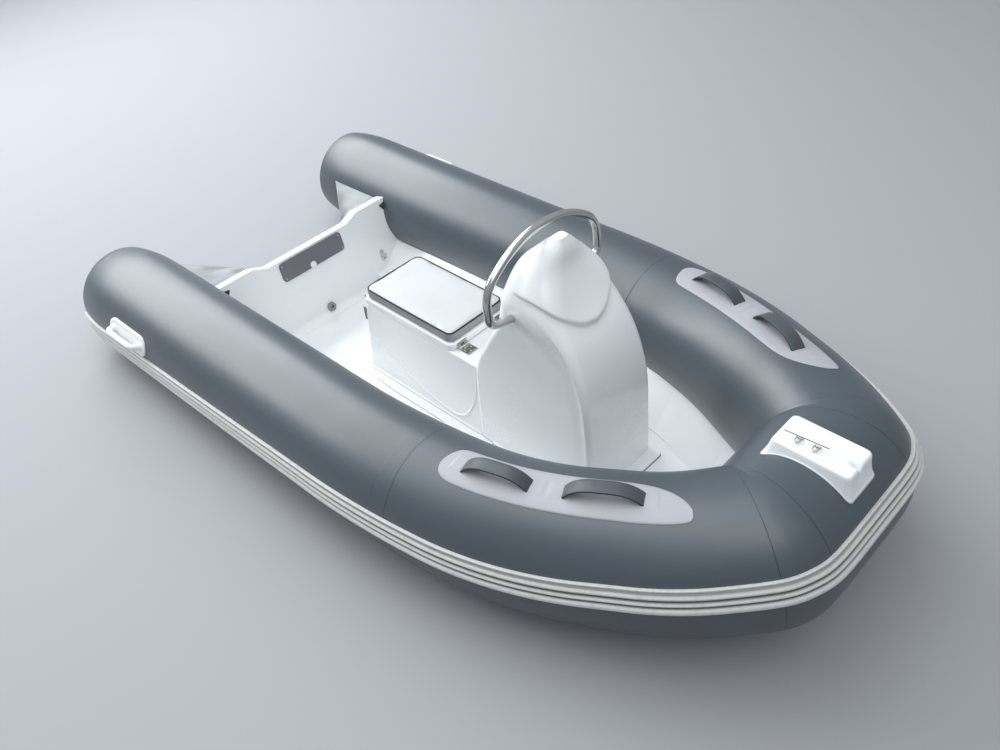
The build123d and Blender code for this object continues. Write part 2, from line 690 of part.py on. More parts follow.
def hinge(y):
    """One butt hinge at y: fixed leaf with its knuckle, and moving leaf with two knuckles and the pin."""
    axis_x = SEAT_FORE + HINGE_AHEAD
    axis_z = BOX_TOP + KNUCKLE_R + 1.0
    third = HINGE_LENGTH / 3
    across = Plane((axis_x, y, axis_z), x_dir=(1, 0, 0), z_dir=(0, 1, 0))
    knuckle = Cylinder(KNUCKLE_R, third - 0.6) - Cylinder(PIN_R, third)
    leaf_x = axis_x + KNUCKLE_R + LEAF_WIDTH / 2
    leaf = Pos(leaf_x, y, BOX_TOP + LEAF_T / 2) * Box(LEAF_WIDTH, HINGE_LENGTH, LEAF_T)
    tongue = Pos(axis_x + KNUCKLE_R, y, BOX_TOP + KNUCKLE_R / 2 + 1.5) * Box(6.0, third - 0.6, 5.0)
    bore = across * Cylinder(PIN_R, HINGE_LENGTH)
    fixed = leaf + (tongue - across * Cylinder(KNUCKLE_R, HINGE_LENGTH)) + across * knuckle
    fixed = fixed - bore
    ends = [across * Pos(0, 0, side * third) * Cylinder(KNUCKLE_R, third - 0.6) for side in (-1, 1)]
    pin = across * Cylinder(PIN_R - PIN_CLEAR, HINGE_LENGTH)
    plate_x = SEAT_FORE + LEAF_T / 2
    plate = Pos(plate_x, y, axis_z + LID_T / 2 - 3.0) * Box(LEAF_T, HINGE_LENGTH, LID_T - 10.0)
    arm_x = (SEAT_FORE + axis_x) / 2 + 1.0
    arms = [Pos(arm_x, y + side * third, axis_z + 2.0) * Box(HINGE_AHEAD - 1.0, third - 0.6, 4.0)
            for side in (-1, 1)]
    moving = plate + pin + ends[0] + ends[1] + arms[0] + arms[1]
    return fixed, moving


def latches():
    """Over-centre latches on the aft face of the box, and their catches on the lid."""
    depth, width, height = LATCH_SIZE
    bodies, catches = [], []
    for y in (-LATCH_Y, LATCH_Y):
        top = BOX_TOP - LATCH_BELOW
        bodies.append(Pos(SEAT_AFT - depth / 2 - 9.0, y, top - height / 2) * Box(depth + 18.0, width, height))
        catches.append(Pos(SEAT_AFT - 3.0, y, BOX_TOP + LID_GAP + LID_T / 2) * Box(6.0, width, CATCH_HEIGHT))
    return bodies, catches


# ---- console and rail ----------------------------------------------------------------------------
PLINTH = (CONSOLE_AFT + 60.0, 634.0, 160.0, 14.0)  # aft edge, front edge, half width, height
SOCKET_R = 23.0
SOCKET_T = 9.0
RAIL_FOOT = (-64.0, 24.0)   # height of the leg's lower bend from the shoulder, and the foot's drop


def console():
    """Console pod, narrowing and raked back to a rounded crown."""
    faces = [Pos((aft + fore) / 2, 0, z) * RectangleRounded(fore - aft, 2 * half, corner)
             for z, aft, fore, half, corner in CONSOLE_SECTIONS]
    return joined([loft(faces[:2]), loft(faces[1:])])


def plinth():
    """Raised base in the deck that the console stands on."""
    aft, fore, half, height = PLINTH
    return Pos((aft + fore) / 2, 0, SOLE_Z + height / 2) * Box(fore - aft, 2 * half, height)


def rail_plane():
    """Plane of the hoop: x to port, y up from the legs' shoulders, leaning aft."""
    lean = radians(RAIL_LEAN)
    return Plane((RAIL_X, 0, RAIL_SHOULDER_Z), x_dir=(0, 1, 0), z_dir=(cos(lean), 0, -sin(lean)))


def rail():
    """Stainless hoop over the console: legs, shoulder arcs and crown arc, each foot turned in to a socket."""
    side_centre = RAIL_HALF - RAIL_SIDE_R
    gap = side_centre ** 2 + RAIL_RISE ** 2 - RAIL_SIDE_R ** 2
    crown_r = gap / (2 * (RAIL_RISE - RAIL_SIDE_R))
    crown_y = RAIL_RISE - crown_r
    turn = atan(side_centre / -crown_y)
    join = Vector(crown_r * sin(turn), crown_y + crown_r * cos(turn))
    low, drop = RAIL_FOOT
    foot = Vector(console_half(RAIL_SHOULDER_Z + low - drop) - 4.0, low - drop)
    knee = Vector(RAIL_HALF, low)
    knee_r = 30.0
    leg = FilletPolyline(foot, knee, (RAIL_HALF, 0), radius=knee_r)
    shoulder = Edge.make_tangent_arc((RAIL_HALF, 0), (0, 1), join)
    port = leg.edges() + [shoulder]
    crown = Edge.make_three_point_arc(join, (0, RAIL_RISE), (-join.X, join.Y))
    star = [edge.mirror(Plane.YZ) for edge in port]
    path = rail_plane() * Wire([*port, crown, *star])
    start = path.position_at(0)
    section = Plane(start, z_dir=path.tangent_at(0)) * Circle(RAIL_R)
    return sweep(section, path=path)


def console_half(z):
    """Half width of the console at a height."""
    for low, high in zip(CONSOLE_SECTIONS, CONSOLE_SECTIONS[1:]):
        if low[0] <= z <= high[0]:
            return low[3] + (high[3] - low[3]) * (z - low[0]) / (high[0] - low[0])
    return CONSOLE_SECTIONS[-1][3]


def rail_socket():
    """Round flange where the rail's port foot meets the console's side."""
    low, drop = RAIL_FOOT
    z = RAIL_SHOULDER_Z + low - drop
    half = console_half(z)
    x = (rail_plane() * Pos(half, low - drop)).position.X
    return Plane((x, half - 6.0, z), z_dir=(0, 1, 0)) * Cylinder(SOCKET_R, 2 * SOCKET_T)


# ---- bow step ------------------------------------------------------------------------------------
STEP_LIFT = 21.0            # top of the step above the bow tube
STEP_TOP = BOW_CORNER.Z + BOW_TUBE_R + STEP_LIFT
STEP_AFT = BOW_CORNER.X - 90.0
STEP_FORE = BOW_CORNER.X + 127.0
STEP_HALF = 66.0
STEP_NOSE = 21.0            # how far the front face runs out at its foot
STEP_TAIL = 43.0            # the same at the aft end
STEP_FOOT_Z = STEP_TOP - 103.0
STEP_FLARE = 4.0            # how far the sides run out at the front of the foot
STEP_TAIL_FLARE = 74.0      # the same at its aft end
STEP_CORNER = 14.0
FITTING_X = (STEP_AFT + 54.0, STEP_AFT + 103.0)
FITTING_Y = -14.0


def bow_step(skin):
    """Moulded step that sits astride the bow tube."""
    top = Pos((STEP_AFT + STEP_FORE) / 2, 0, STEP_TOP) * RectangleRounded(
        STEP_FORE - STEP_AFT, 2 * STEP_HALF, STEP_CORNER)
    aft, fore = STEP_AFT - STEP_TAIL, STEP_FORE + STEP_NOSE
    corners = outline((aft, fore), (STEP_HALF + STEP_TAIL_FLARE, STEP_HALF + STEP_FLARE))
    foot = make_face(Wire.make_polygon(corners, close=True))
    foot = Pos(0, 0, STEP_FOOT_Z) * fillet(foot.vertices(), STEP_CORNER)
    block = loft([foot, top])
    return biggest(block - skin)


def step_fittings():
    """Small stainless fittings on top of the step."""
    fittings = []
    for x in FITTING_X:
        plate = Pos(x, FITTING_Y, STEP_TOP + 1.0) * Box(16.0, 24.0, 2.0)
        barrel = Pos(x, FITTING_Y + 13.0, STEP_TOP + 3.0) * Rot(0, 90, 0) * Cylinder(3.0, 16.0)
        fittings.append(plate + barrel)
    return fittings


def main():
    """Build every piece and write it."""
    os.makedirs("parts", exist_ok=True)
    tubes = whole_ring(GLUE_GAP)
    both_sides(joined(along_tube(tube_section(), CONE_LENGTH, CHAMBER_S)), "tube")
    half = bow_half()
    export(joined(half + [mirror(solid, about=Plane.XZ) for solid in half]).clean(), "tube_bow")
    both_sides(stern_cone(), "stern_cone")
    both_sides(joined(along_tube(strake_section, twist_step=300.0)), "rub_strake")
    export(strake_bow(), "rub_strake_bow")
    both_sides(patch(), "strap_patch")
    skin = along_tube(tube_section(PATCH_T + 2 * GLUE_GAP), *PATCH_ENDS)
    for (first, last), place in zip(STRAP_ENDS, ("aft", "fore")):
        both_sides(strap(first, last, skin), f"carry_strap_{place}")
    both_sides(stern_handle(), "stern_handle")
    both_sides(transom_web(), "transom_web")
    export(bow_patch(), "bow_patch")
    export(bow_ring(), "bow_ring")

    body = mouldings(tubes)
    room = deck_room()
    export(hull(body, room), "hull_bottom")
    export(deck_liner(body, room), "deck_liner")
    export(transom(tubes) - drain_hole(), "transom")
    for pad, node in zip(motor_pads(), ("motor_pad_inner", "motor_pad_outer")):
        export(pad, node)
    export(drain(), "drain_fitting")
    both_sides(transom_eye(), "transom_eye")

    pod = console()
    hoop = rail()
    port_socket = rail_socket()
    sockets = [port_socket, mirror(port_socket, about=Plane.XZ)]
    seat = seat_box()
    export(plinth() - pod - seat, "console_plinth")
    export(pod - sockets - hoop, "console_pod")
    export(hoop - sockets, "console_rail")
    both_sides(port_socket, "rail_socket")

    export(seat, "seat_box")
    export(seat_lid(), "seat_lid")
    export(cushion(), "seat_cushion")
    pairs = [hinge(y) for y in (-HINGE_Y, HINGE_Y)]
    export(Compound([fixed for fixed, _ in pairs]), "seat_hinge_fixed")
    export(Compound([moving for _, moving in pairs]), "seat_hinge_moving")
    bodies, catches = latches()
    block = seat_block(SEAT_AFT, CONSOLE_AFT, SEAT_WIDTH / 2, SOLE_Z, BOX_TOP, BOX_CORNER, BOX_DRAFT_AFT,
                       BOX_DRAFT_SIDE)
    export(Compound([body - block for body in bodies]), "seat_latch")
    export(Compound(catches), "seat_catch")

    export(bow_step(tubes), "bow_step")
    export(Compound(step_fittings()), "step_fittings")


if __name__ == "__main__":
    main()
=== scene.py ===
# %% [markdown]
# # A small rigid inflatable boat
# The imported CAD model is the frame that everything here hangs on. This script dresses it: it repaints the
# plain mouldings, and it swaps the soft and the swept pieces (tubes, strake, straps, cushion) and the more
# rounded mouldings (seat box, lid, console, bow step) for finer meshes that sit in the same places. All
# lengths are metres: +X is the bow, +Y is port, +Z is up, and z = 0 is the waterline.

# %% Load the frame
import json
import math

import bmesh
import bpy
import numpy as np
from mathutils import Matrix, Vector
from mathutils.bvhtree import BVHTree


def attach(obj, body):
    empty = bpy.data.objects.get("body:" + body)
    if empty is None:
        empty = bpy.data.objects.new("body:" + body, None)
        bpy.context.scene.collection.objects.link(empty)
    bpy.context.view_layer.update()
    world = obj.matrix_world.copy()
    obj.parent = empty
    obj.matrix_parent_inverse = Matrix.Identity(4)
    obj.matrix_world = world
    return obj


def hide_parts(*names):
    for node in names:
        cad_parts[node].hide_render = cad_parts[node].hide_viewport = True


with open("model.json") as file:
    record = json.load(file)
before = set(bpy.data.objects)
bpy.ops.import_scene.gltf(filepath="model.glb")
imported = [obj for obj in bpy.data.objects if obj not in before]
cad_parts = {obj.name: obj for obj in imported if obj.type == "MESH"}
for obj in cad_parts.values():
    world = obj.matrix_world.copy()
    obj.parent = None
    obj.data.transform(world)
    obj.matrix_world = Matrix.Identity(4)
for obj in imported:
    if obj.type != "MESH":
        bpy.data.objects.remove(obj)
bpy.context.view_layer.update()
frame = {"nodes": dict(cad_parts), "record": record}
nodes = frame["nodes"]

# %% [markdown]
# ## Materials as arithmetic
# A finish is mostly sums over a few coordinates: how far from a seam, how deep in a groove, how worn.
# Wiring Math nodes by hand hides those sums, so a small class lets them be written as Python expressions.


# %% A socket that takes part in sums
class Term:
    """A number in a material's node tree; sums and products with it add Math nodes."""

    def __init__(self, finish, socket):
        self.finish = finish
        self.socket = socket

    def _math(self, operation, *others):
        return self.finish.node("ShaderNodeMath", {"operation": operation}, *(self, *others))

    def __add__(self, other):
        return self._math("ADD", other)

    __radd__ = __add__

    def __sub__(self, other):
        return self._math("SUBTRACT", other)

    def __rsub__(self, other):
        return (self * -1.0) + other

    def __mul__(self, other):
        return self._math("MULTIPLY", other)

    __rmul__ = __mul__

    def __abs__(self):
        return self._math("ABSOLUTE")

    def least(self, other):
        return self._math("MINIMUM", other)

    def most(self, other):
        return self._math("MAXIMUM", other)

    def sine(self):
        return self._math("SINE")

    def step(self, low, high):
        """0 below low, 1 above high, and smooth between."""
        smooth = {"interpolation_type": "SMOOTHSTEP"}
        return self.finish.node("ShaderNodeMapRange", smooth, self, low, high, 0.0, 1.0)

    def line(self, centre, half):
        """1 on a line at centre, falling to 0 at half each side."""
        return 1.0 - abs(self - centre).step(half * 0.35, half)


class Finish:
    """A material under construction."""

    def __init__(self, name, **sockets):
        self.material = bpy.data.materials.new(name)
        self.material.use_nodes = True
        self.tree = self.material.node_tree
        self.shader = self.tree.nodes["Principled BSDF"]
        for key, value in sockets.items():
            self.shader.inputs[key.replace("_", " ")].default_value = value
        self.place = self.node("ShaderNodeTexCoord", {}, out="Object")

    def node(self, kind, settings, *inputs, out=0):
        """Add one node: its settings first, then the values or links of its sockets in order."""
        made = self.tree.nodes.new(kind)
        for key, value in settings.items():
            setattr(made, key, value)
        for socket, value in zip([s for s in made.inputs if s.enabled], inputs):
            if isinstance(value, Term):
                self.tree.links.new(value.socket, socket)
            elif value is not None:
                socket.default_value = value
        return Term(self, made.outputs[out])

    def axes(self, vector=None):
        """The three parts of a vector, by default the place on the piece."""
        split = self.node("ShaderNodeSeparateXYZ", {}, vector or self.place)
        outputs = split.socket.node.outputs
        return [Term(self, outputs[i]) for i in range(3)]

    def uv(self):
        """Along and across a swept piece, from its own UV map."""
        return self.axes(self.node("ShaderNodeUVMap", {"uv_map": "sweep"}))[:2]

    def noise(self, scale, detail=3.0):
        """Cloudy noise on the place on the piece; scale is in waves per metre."""
        return self.node("ShaderNodeTexNoise", {}, self.place, scale, detail, 0.55)

    def mix(self, share, one, two):
        """A colour between one and two."""
        made = self.tree.nodes.new("ShaderNodeMix")
        made.data_type = "RGBA"
        factor, first, second = made.inputs[0], made.inputs[6], made.inputs[7]
        for socket, value in ((factor, share), (first, one), (second, two)):
            if isinstance(value, Term):
                self.tree.links.new(value.socket, socket)
            else:
                socket.default_value = value if isinstance(value, float) else (*value[:3], 1.0)
        return Term(self, made.outputs[2])

    def bump(self, height, depth):
        """Relief whose full height is depth metres."""
        relief = self.node("ShaderNodeBump", {}, 1.0, depth)
        node = relief.socket.node
        self.tree.links.new(height.socket, node.inputs["Height"])
        return relief

    def wear(self, **sockets):
        """Link what changes over the surface to the shader."""
        for key, value in sockets.items():
            self.tree.links.new(value.socket, self.shader.inputs[key.replace("_", " ")])
        return self.material


# %% [markdown]
# ## Finishes
# The tubes are coated fabric: a satin slate grey with a faint grain and slow changes of tone where it is
# stretched. The mouldings are white gelcoat, the grab rail is polished stainless steel, and the strake is
# soft white rubber. One function makes every finish that is just a tone, a slow drift of it and a fine
# grain; the others add their own marks.

# %% A finish with a drift of tone and a fine grain
def plain_finish(name, colour, rough=0.45, grain=400.0, depth=0.0002, drift=0.06, **sockets):
    """Grain is in waves per metre and depth in metres; drift is how much darker the slow patches are."""
    made = Finish(name, **sockets)
    slow, fine = made.noise(6.0, 3.0), made.noise(grain, 2.0)
    tint = made.mix(slow.step(0.35, 0.8), colour, [c * (1.0 - drift) for c in colour])
    return made.wear(Base_Color=tint, Roughness=slow * 0.08 + fine * 0.06 + (rough - 0.07),
                     Normal=made.bump(fine, depth))


# %% Coated fabric of the tubes
SLATE = (0.044, 0.062, 0.077)


def coated_fabric(name, base, seams):
    """Tube fabric with a dark line at each seam, given as its distance along the tube and half its width."""
    cloth = Finish(name, Coat_Weight=0.35, Coat_Roughness=0.34, Specular_IOR_Level=0.9)
    along, _ = cloth.uv()
    seam = along.line(*seams[0])
    for place, half in seams[1:]:
        seam = seam.most(along.line(place, half))
    slow, fine = cloth.noise(2.4, 2.0), cloth.noise(1100.0, 2.0)
    colour = cloth.mix(slow.step(0.3, 0.75), base, [c * 0.86 for c in base])
    colour = cloth.mix(seam * 0.9, colour, [c * 0.12 for c in base])
    rough = slow * 0.12 + fine * 0.05 + 0.33
    relief = cloth.bump(fine * 0.35 + slow * 0.5 - seam, 0.0007)
    return cloth.wear(Base_Color=colour, Roughness=rough, Normal=relief)


# %% Gelcoat, metals and rubber
gelcoat = plain_finish("gelcoat", (0.87, 0.885, 0.89), 0.26, 260.0, 0.00005, 0.03,
                       Coat_Weight=0.5, Coat_Roughness=0.12)
white_moulding = plain_finish("white_moulding", (0.86, 0.865, 0.86), 0.40, 500.0, 0.0001, 0.04)
steel = plain_finish("stainless", (0.58, 0.57, 0.55), 0.13, 300.0, 0.00002, 0.1, Metallic=1.0)
dark_steel = plain_finish("worn_steel", (0.20, 0.20, 0.205), 0.30, 300.0, 0.0001, 0.3, Metallic=1.0)
pad_grey = plain_finish("pad_grey", (0.160, 0.157, 0.178), 0.50, 350.0, 0.0003)
black_rubber_and_gap_shade = plain_finish("black_rubber_and_gap_shade", (0.012, 0.013, 0.015), 0.45, 600.0, 0.0001)
print(len(bpy.data.materials), "finishes so far")

# %% [markdown]
# ## The line of the tubes
# The tubes follow straight runs joined by tangent arcs, then turn the bow in three mitred panels. The same
# numbers shape the CAD solids, so the meshes below land on them to a fraction of a millimetre.

# %% The port centreline
# corner where two runs would meet, and how far from it the bend between them starts
CORNERS = (
    ((-1.374, 0.568, 0.182), 0.0),
    ((0.177, 0.568, 0.214), 0.202),
    ((0.630, 0.5112, 0.227), 0.209),
    ((1.008, 0.319784, 0.271), 0.108),
    ((1.173, 0.178011, 0.310), 0.0),
)
TUBE_R, BOW_R = 0.190, 0.212
CONE_LENGTH, CONE_DROP = 0.160, 0.018
CHAMBER_S = 1.667
CORNER_FLAT = 0.014
UP = Vector((0, 0, 1))


def runs():
    """Straight runs and arcs of the port tube: kind, length, and what places a point on it."""
    pieces = []
    start = Vector(CORNERS[0][0])
    for (a, _), (b, bend), (c, _) in zip(CORNERS, CORNERS[1:], CORNERS[2:]):
        a, b, c = Vector(a), Vector(b), Vector(c)
        go_in, go_out = (b - a).normalized(), (c - b).normalized()
        turn = go_in.angle(go_out)
        side = (go_out - go_in * math.cos(turn)).normalized()
        begin = b - go_in * bend
        radius = bend / math.tan(turn / 2)
        pieces.append(("line", (begin - start).length, start, go_in))
        pieces.append(("arc", radius * turn, begin, go_in, side, radius))
        start = b + go_out * bend
    last = Vector(CORNERS[-1][0])
    pieces.append(("line", (last - start).length, start, (last - start).normalized()))
    return pieces


RUNS = runs()
ENDS = np.cumsum([run[1] for run in RUNS]).tolist()
BOW_S = ENDS[-2]


def on_path(s):
    """Point and direction at a distance along the port centreline."""
    begin = 0.0
    for run, end in zip(RUNS, ENDS):
        if s <= end or end == ENDS[-1]:
            t = s - begin
            if run[0] == "line":
                return run[2] + run[3] * t, run[3]
            _, _, origin, go, side, radius = run
            a = t / radius
            return (origin + go * radius * math.sin(a) + side * radius * (1 - math.cos(a)),
                    go * math.cos(a) + side * math.sin(a))
        begin = end


def tube_radius(s):
    """The tube grows towards the bow and tapers to its stern seam."""
    growth = min(max((s - ENDS[0]) / (BOW_S - ENDS[0]), 0.0), 1.0)
    taper = max(1.0 - s / CONE_LENGTH, 0.0)
    return TUBE_R + (BOW_R - TUBE_R) * growth - CONE_DROP * taper ** 2


def station(s):
    """Section frame at a distance: origin, outboard, up, along, radius."""
    origin, along = on_path(s)
    out = UP.cross(along).normalized()
    return origin, out, along.cross(out), along, tube_radius(s)


def skin(s, angle, lift=0.0):
    """Point on the tube's skin; angle is degrees above its outboard side."""
    origin, out, up, _, radius = station(s)
    a = math.radians(angle)
    return origin + (out * math.cos(a) + up * math.sin(a)) * (radius + lift)


def ring_at(origin, out, up, offsets):
    """A section's offsets placed on two directions from its middle."""
    return np.array([tuple(origin + out * x + up * y) for x, y in offsets])


print("port tube", round(ENDS[-1], 3), "m to the bow corner")

# %% The mitred panels round the bow
BOW_CORNER = Vector(CORNERS[-1][0])
SIDE_RUN = (BOW_CORNER - Vector(CORNERS[-2][0])).normalized()
FRONT_RUN = Vector((0, -1, 0))
PANEL_A = BOW_CORNER - SIDE_RUN * CORNER_FLAT
PANEL_B = BOW_CORNER + FRONT_RUN * CORNER_FLAT
PANEL_RUN = (PANEL_B - PANEL_A).normalized()
MITRE_A = (SIDE_RUN + PANEL_RUN).normalized()
MITRE_B = (PANEL_RUN + FRONT_RUN).normalized()
MIDDLE = (PANEL_A + PANEL_B) / 2


def mirrored_in(vector, normal):
    """A direction mirrored in the plane across a unit normal."""
    return vector - normal * (2 * vector.dot(normal))


SIDE_OUT = UP.cross(SIDE_RUN).normalized()
PANEL_OUT = mirrored_in(SIDE_OUT, MITRE_A)
FRONT_OUT = mirrored_in(PANEL_OUT, MITRE_B)
BOW_FRONT = (0.068, 0.0)  # distance from the centreline of the control rings on the front run


def bow_rings(section):
    """Control rings from the last bend to the centreline; section(radius, s) lists outboard, up offsets."""
    offsets = section(BOW_R, BOW_S)
    side_up, front_up = SIDE_RUN.cross(SIDE_OUT), FRONT_RUN.cross(FRONT_OUT)

    def meet(origin, out, up, run, normal, x, y, side):
        """Where a line of the skin meets a mitre plane, or the corner's middle plane if that comes first."""
        point = origin + out * x + up * y
        to_mitre = (origin - point).dot(normal) / run.dot(normal)
        to_middle = (MIDDLE - point).dot(PANEL_RUN) / run.dot(PANEL_RUN)
        return point + run * (min(to_mitre, to_middle) if side > 0 else max(to_mitre, to_middle))

    ring_a = [meet(PANEL_A, SIDE_OUT, side_up, SIDE_RUN, MITRE_A, x, y, 1) for x, y in offsets]
    ring_b = [meet(PANEL_B, FRONT_OUT, front_up, FRONT_RUN, MITRE_B, x, y, -1) for x, y in offsets]
    rings = [ring_a, [(a + b) / 2 for a, b in zip(ring_a, ring_b)], ring_b]
    rings = [np.array([tuple(p) for p in ring]) for ring in rings]
    for y0 in BOW_FRONT:
        rings.append(ring_at(Vector((BOW_CORNER.x, y0, BOW_CORNER.z)), FRONT_OUT, front_up, offsets))
    return rings


BOW_MARKS = [BOW_S + m for m in (0.147, 0.208, 0.269, 0.365, 0.433)]  # those rings, along the sweep
smoothed = [(a + 4 * b + c) / 6 for a, b, c in zip([BOW_S, *BOW_MARKS], BOW_MARKS, BOW_MARKS[1:])]
MITRE_MARKS = [smoothed[0], smoothed[2]]
print("mitre seams at", [round(m, 4) for m in MITRE_MARKS])


# %% [markdown]
# ### Rounding the corners
# Fabric under pressure doesn't keep a knife edge. The control rings of the bow are read as a uniform
# B-spline, which cuts each mitre by a few millimetres and leaves the straight lengths as they are.

# %% Rings to a smooth sweep
def spline_rings(rings, marks, count):
    """Uniform cubic B-spline through a list of rings; returns finer rings and their marks."""
    padded = [2 * rings[0] - rings[1], *rings, 2 * rings[-1] - rings[-2]]
    lengths = [2 * marks[0] - marks[1], *marks, 2 * marks[-1] - marks[-2]]
    fine, fine_marks = [], []
    for i in range(1, len(padded) - 2):
        for k in range(count):
            t = k / count
            weights = ((1 - t) ** 3 / 6, (3 * t ** 3 - 6 * t * t + 4) / 6,
                       (-3 * t ** 3 + 3 * t * t + 3 * t + 1) / 6, t ** 3 / 6)
            fine.append(sum(w * padded[i - 1 + j] for j, w in enumerate(weights)))
            fine_marks.append(sum(w * lengths[i - 1 + j] for j, w in enumerate(weights)))
    fine.append(rings[-1])
    fine_marks.append(marks[-1])
    return fine, fine_marks


def side_stations(first, last, step=0.05, extra=()):
    """Distances between two places: the ends of runs, evenly between them, and any extra ones."""
    count = max(2, int((last - first) / step))
    marks = {round(first + (last - first) * i / count, 5) for i in range(count + 1)}
    marks |= {round(s, 5) for s in (*ENDS[:-1], *extra) if first < s < last}
    return sorted(marks)


def sweep_rings(section, first, last, step=0.05, extra=()):
    """Rings of a section along the side of the port tube."""
    rings = []
    marks = side_stations(first, last, step, extra)
    for s in marks:
        origin, out, up, _, radius = station(s)
        rings.append(ring_at(origin, out, up, section(radius, s)))
    return rings, marks


def whole_sweep(section, first=0.0, step=0.05, extra=()):
    """Rings of a section from a place on the side round to the boat's centreline."""
    rings, marks = sweep_rings(section, first, BOW_S, step, extra)
    control, control_marks = [*rings[-3:], *bow_rings(section)], [*marks[-3:], *BOW_MARKS]
    fine, fine_marks = spline_rings(control, control_marks, 8)
    keep = [i for i, m in enumerate(fine_marks) if m > marks[-3] + 1e-6]
    return rings[:-2] + [fine[i] for i in keep], marks[:-2] + [fine_marks[i] for i in keep]


def to_starboard(rings):
    """The same rings mirrored across the centreline."""
    return [ring * np.array([1, -1, 1]) for ring in rings]


# %% [markdown]
# ### Meshes from rings
# Nearly every piece here is a stack of closed rings with the same number of points, joined by four-sided
# faces and closed by a flat face at each end. The helpers below join rings, shade the mesh, and give it to a
# body.


# %% Rings to a mesh
def in_scene(name, data):
    """A new object in the scene that shows some data."""
    made = bpy.data.objects.new(name, data)
    bpy.context.scene.collection.objects.link(made)
    return made


def shade_smooth(mesh):
    """Shade every face of a mesh smooth."""
    mesh.polygons.foreach_set("use_smooth", [True] * len(mesh.polygons))


def apply_modifiers(piece):
    """Make what a piece's modifiers give its own mesh."""
    graph = bpy.context.evaluated_depsgraph_get()
    piece.data = bpy.data.meshes.new_from_object(piece.evaluated_get(graph))
    piece.modifiers.clear()


def outward(piece):
    """Turn every face outwards."""
    form = bmesh.new()
    form.from_mesh(piece.data)
    bmesh.ops.recalc_face_normals(form, faces=form.faces)
    form.to_mesh(piece.data)
    form.free()
    return piece


def add_mesh(name, vertices, faces, body, material, slot, uvs=None):
    """Make a closed piece from plain lists and let it ride on a body."""
    mesh = bpy.data.meshes.new(name)
    mesh.from_pydata([tuple(map(float, v)) for v in vertices], [], faces)
    if uvs is not None:
        layer = mesh.uv_layers.new(name="sweep")
        loops = np.zeros(len(mesh.loops), dtype=np.int64)
        mesh.loops.foreach_get("vertex_index", loops)
        layer.data.foreach_set("uv", np.asarray(uvs, dtype=np.float32)[loops].ravel())
    mesh.materials.append(material)
    shade_smooth(mesh)
    mesh.update()
    piece = in_scene(name, mesh)
    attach(piece, body)
    return outward(piece)


def ring_faces(rings, caps=(True, True)):
    """Vertices and faces that join closed rings into a sweep, with flat caps."""
    count = len(rings[0])
    faces = []
    for i in range(len(rings) - 1):
        for j in range(count):
            k = (j + 1) % count
            faces.append((i * count + j, i * count + k, (i + 1) * count + k, (i + 1) * count + j))
    if caps[0]:
        faces.append(tuple(reversed(range(count))))
    if caps[1]:
        faces.append(tuple((len(rings) - 1) * count + j for j in range(count)))
    return np.concatenate(rings), faces


def ring_mesh(name, rings, body, material, slot, marks=None, across=None, caps=(True, True)):
    """A sweep through rings; marks (metres along) and across (share around) make its UV map."""
    vertices, faces = ring_faces(rings, caps)
    uvs = [(m, a) for m in marks for a in across] if marks is not None else None
    return add_mesh(name, vertices, faces, body, material, slot, uvs)


def mirror_rings(rings, sign):
    """Rings made for port, or mirrored for starboard where sign is -1."""
    return rings if sign > 0 else to_starboard(rings)


def joined(forms):
    """One list of vertices and one of faces from several closed forms."""
    vertices, faces = [], []
    for form_vertices, form_faces in forms:
        start = len(vertices)
        vertices.extend(form_vertices)
        faces += [tuple(i + start for i in face) for face in form_faces]
    return vertices, faces


SIDES = (("port", 1), ("starboard", -1))


# %% Round rings, smooth lines and rounded rectangles
def circle(radius, count, squash=1.0):
    """Offsets round a circle, or an ellipse where squash isn't 1."""
    return [(radius * math.cos(a), radius * squash * math.sin(a))
            for a in (2 * math.pi * k / count for k in range(count))]


def tube_rings(path, radius, count=12, closed=False, squash=1.0):
    """Round rings along a list of points, turned as little as possible from one to the next."""
    path = [Vector(p) for p in path]
    steps = [(path[(i + 1) % len(path)] - path[i - 1]) for i in range(len(path))]
    if not closed:
        steps[0], steps[-1] = path[1] - path[0], path[-1] - path[-2]
    rings, side = [], steps[0].orthogonal().normalized()
    for i, (point, step) in enumerate(zip(path, steps)):
        step = step.normalized()
        side = (side - step * side.dot(step)).normalized()
        size = radius[i] if isinstance(radius, (list, tuple)) else radius
        rings.append(ring_at(point, side, step.cross(side), circle(size, count, squash)))
    return rings


def smooth_path(points, count=8, closed=False):
    """A Catmull-Rom line through a few points."""
    pts = [np.array(p, dtype=float) for p in points]
    n = len(pts)
    line = []
    for i in range(n if closed else n - 1):
        p1, p2 = pts[i], pts[(i + 1) % n]
        p0 = pts[i - 1] if closed or i else 2 * p1 - p2
        p3 = pts[(i + 2) % n] if closed or i < n - 2 else 2 * p2 - p1
        for k in range(count):
            t = k / count
            line.append(0.5 * (2 * p1 + (p2 - p0) * t + (2 * p0 - 5 * p1 + 4 * p2 - p3) * t * t
                               + (3 * p1 - p0 - 3 * p2 + p3) * t ** 3))
    return line if closed else line + [pts[-1]]


def rounded_ring(x0, x1, half, corner, z, count=24, aft_corner=None):
    """Rounded rectangle as a ring: count points to each corner, the sides between them straight."""
    points = []
    aft_corner = aft_corner or corner
    for cx, sy, start, r in ((x1, 1, 0, corner), (x0, 1, 90, aft_corner), (x0, -1, 180, aft_corner),
                             (x1, -1, 270, corner)):
        r = min(r, half * 0.98, (x1 - x0) / 2 * 0.98)
        for k in range(count):
            a = math.radians(start + 90 * k / (count - 1))
            inner = cx - r if cx == x1 else cx + r
            points.append((inner + r * math.cos(a), sy * (half - r) + r * math.sin(a), z))
    return np.array(points)


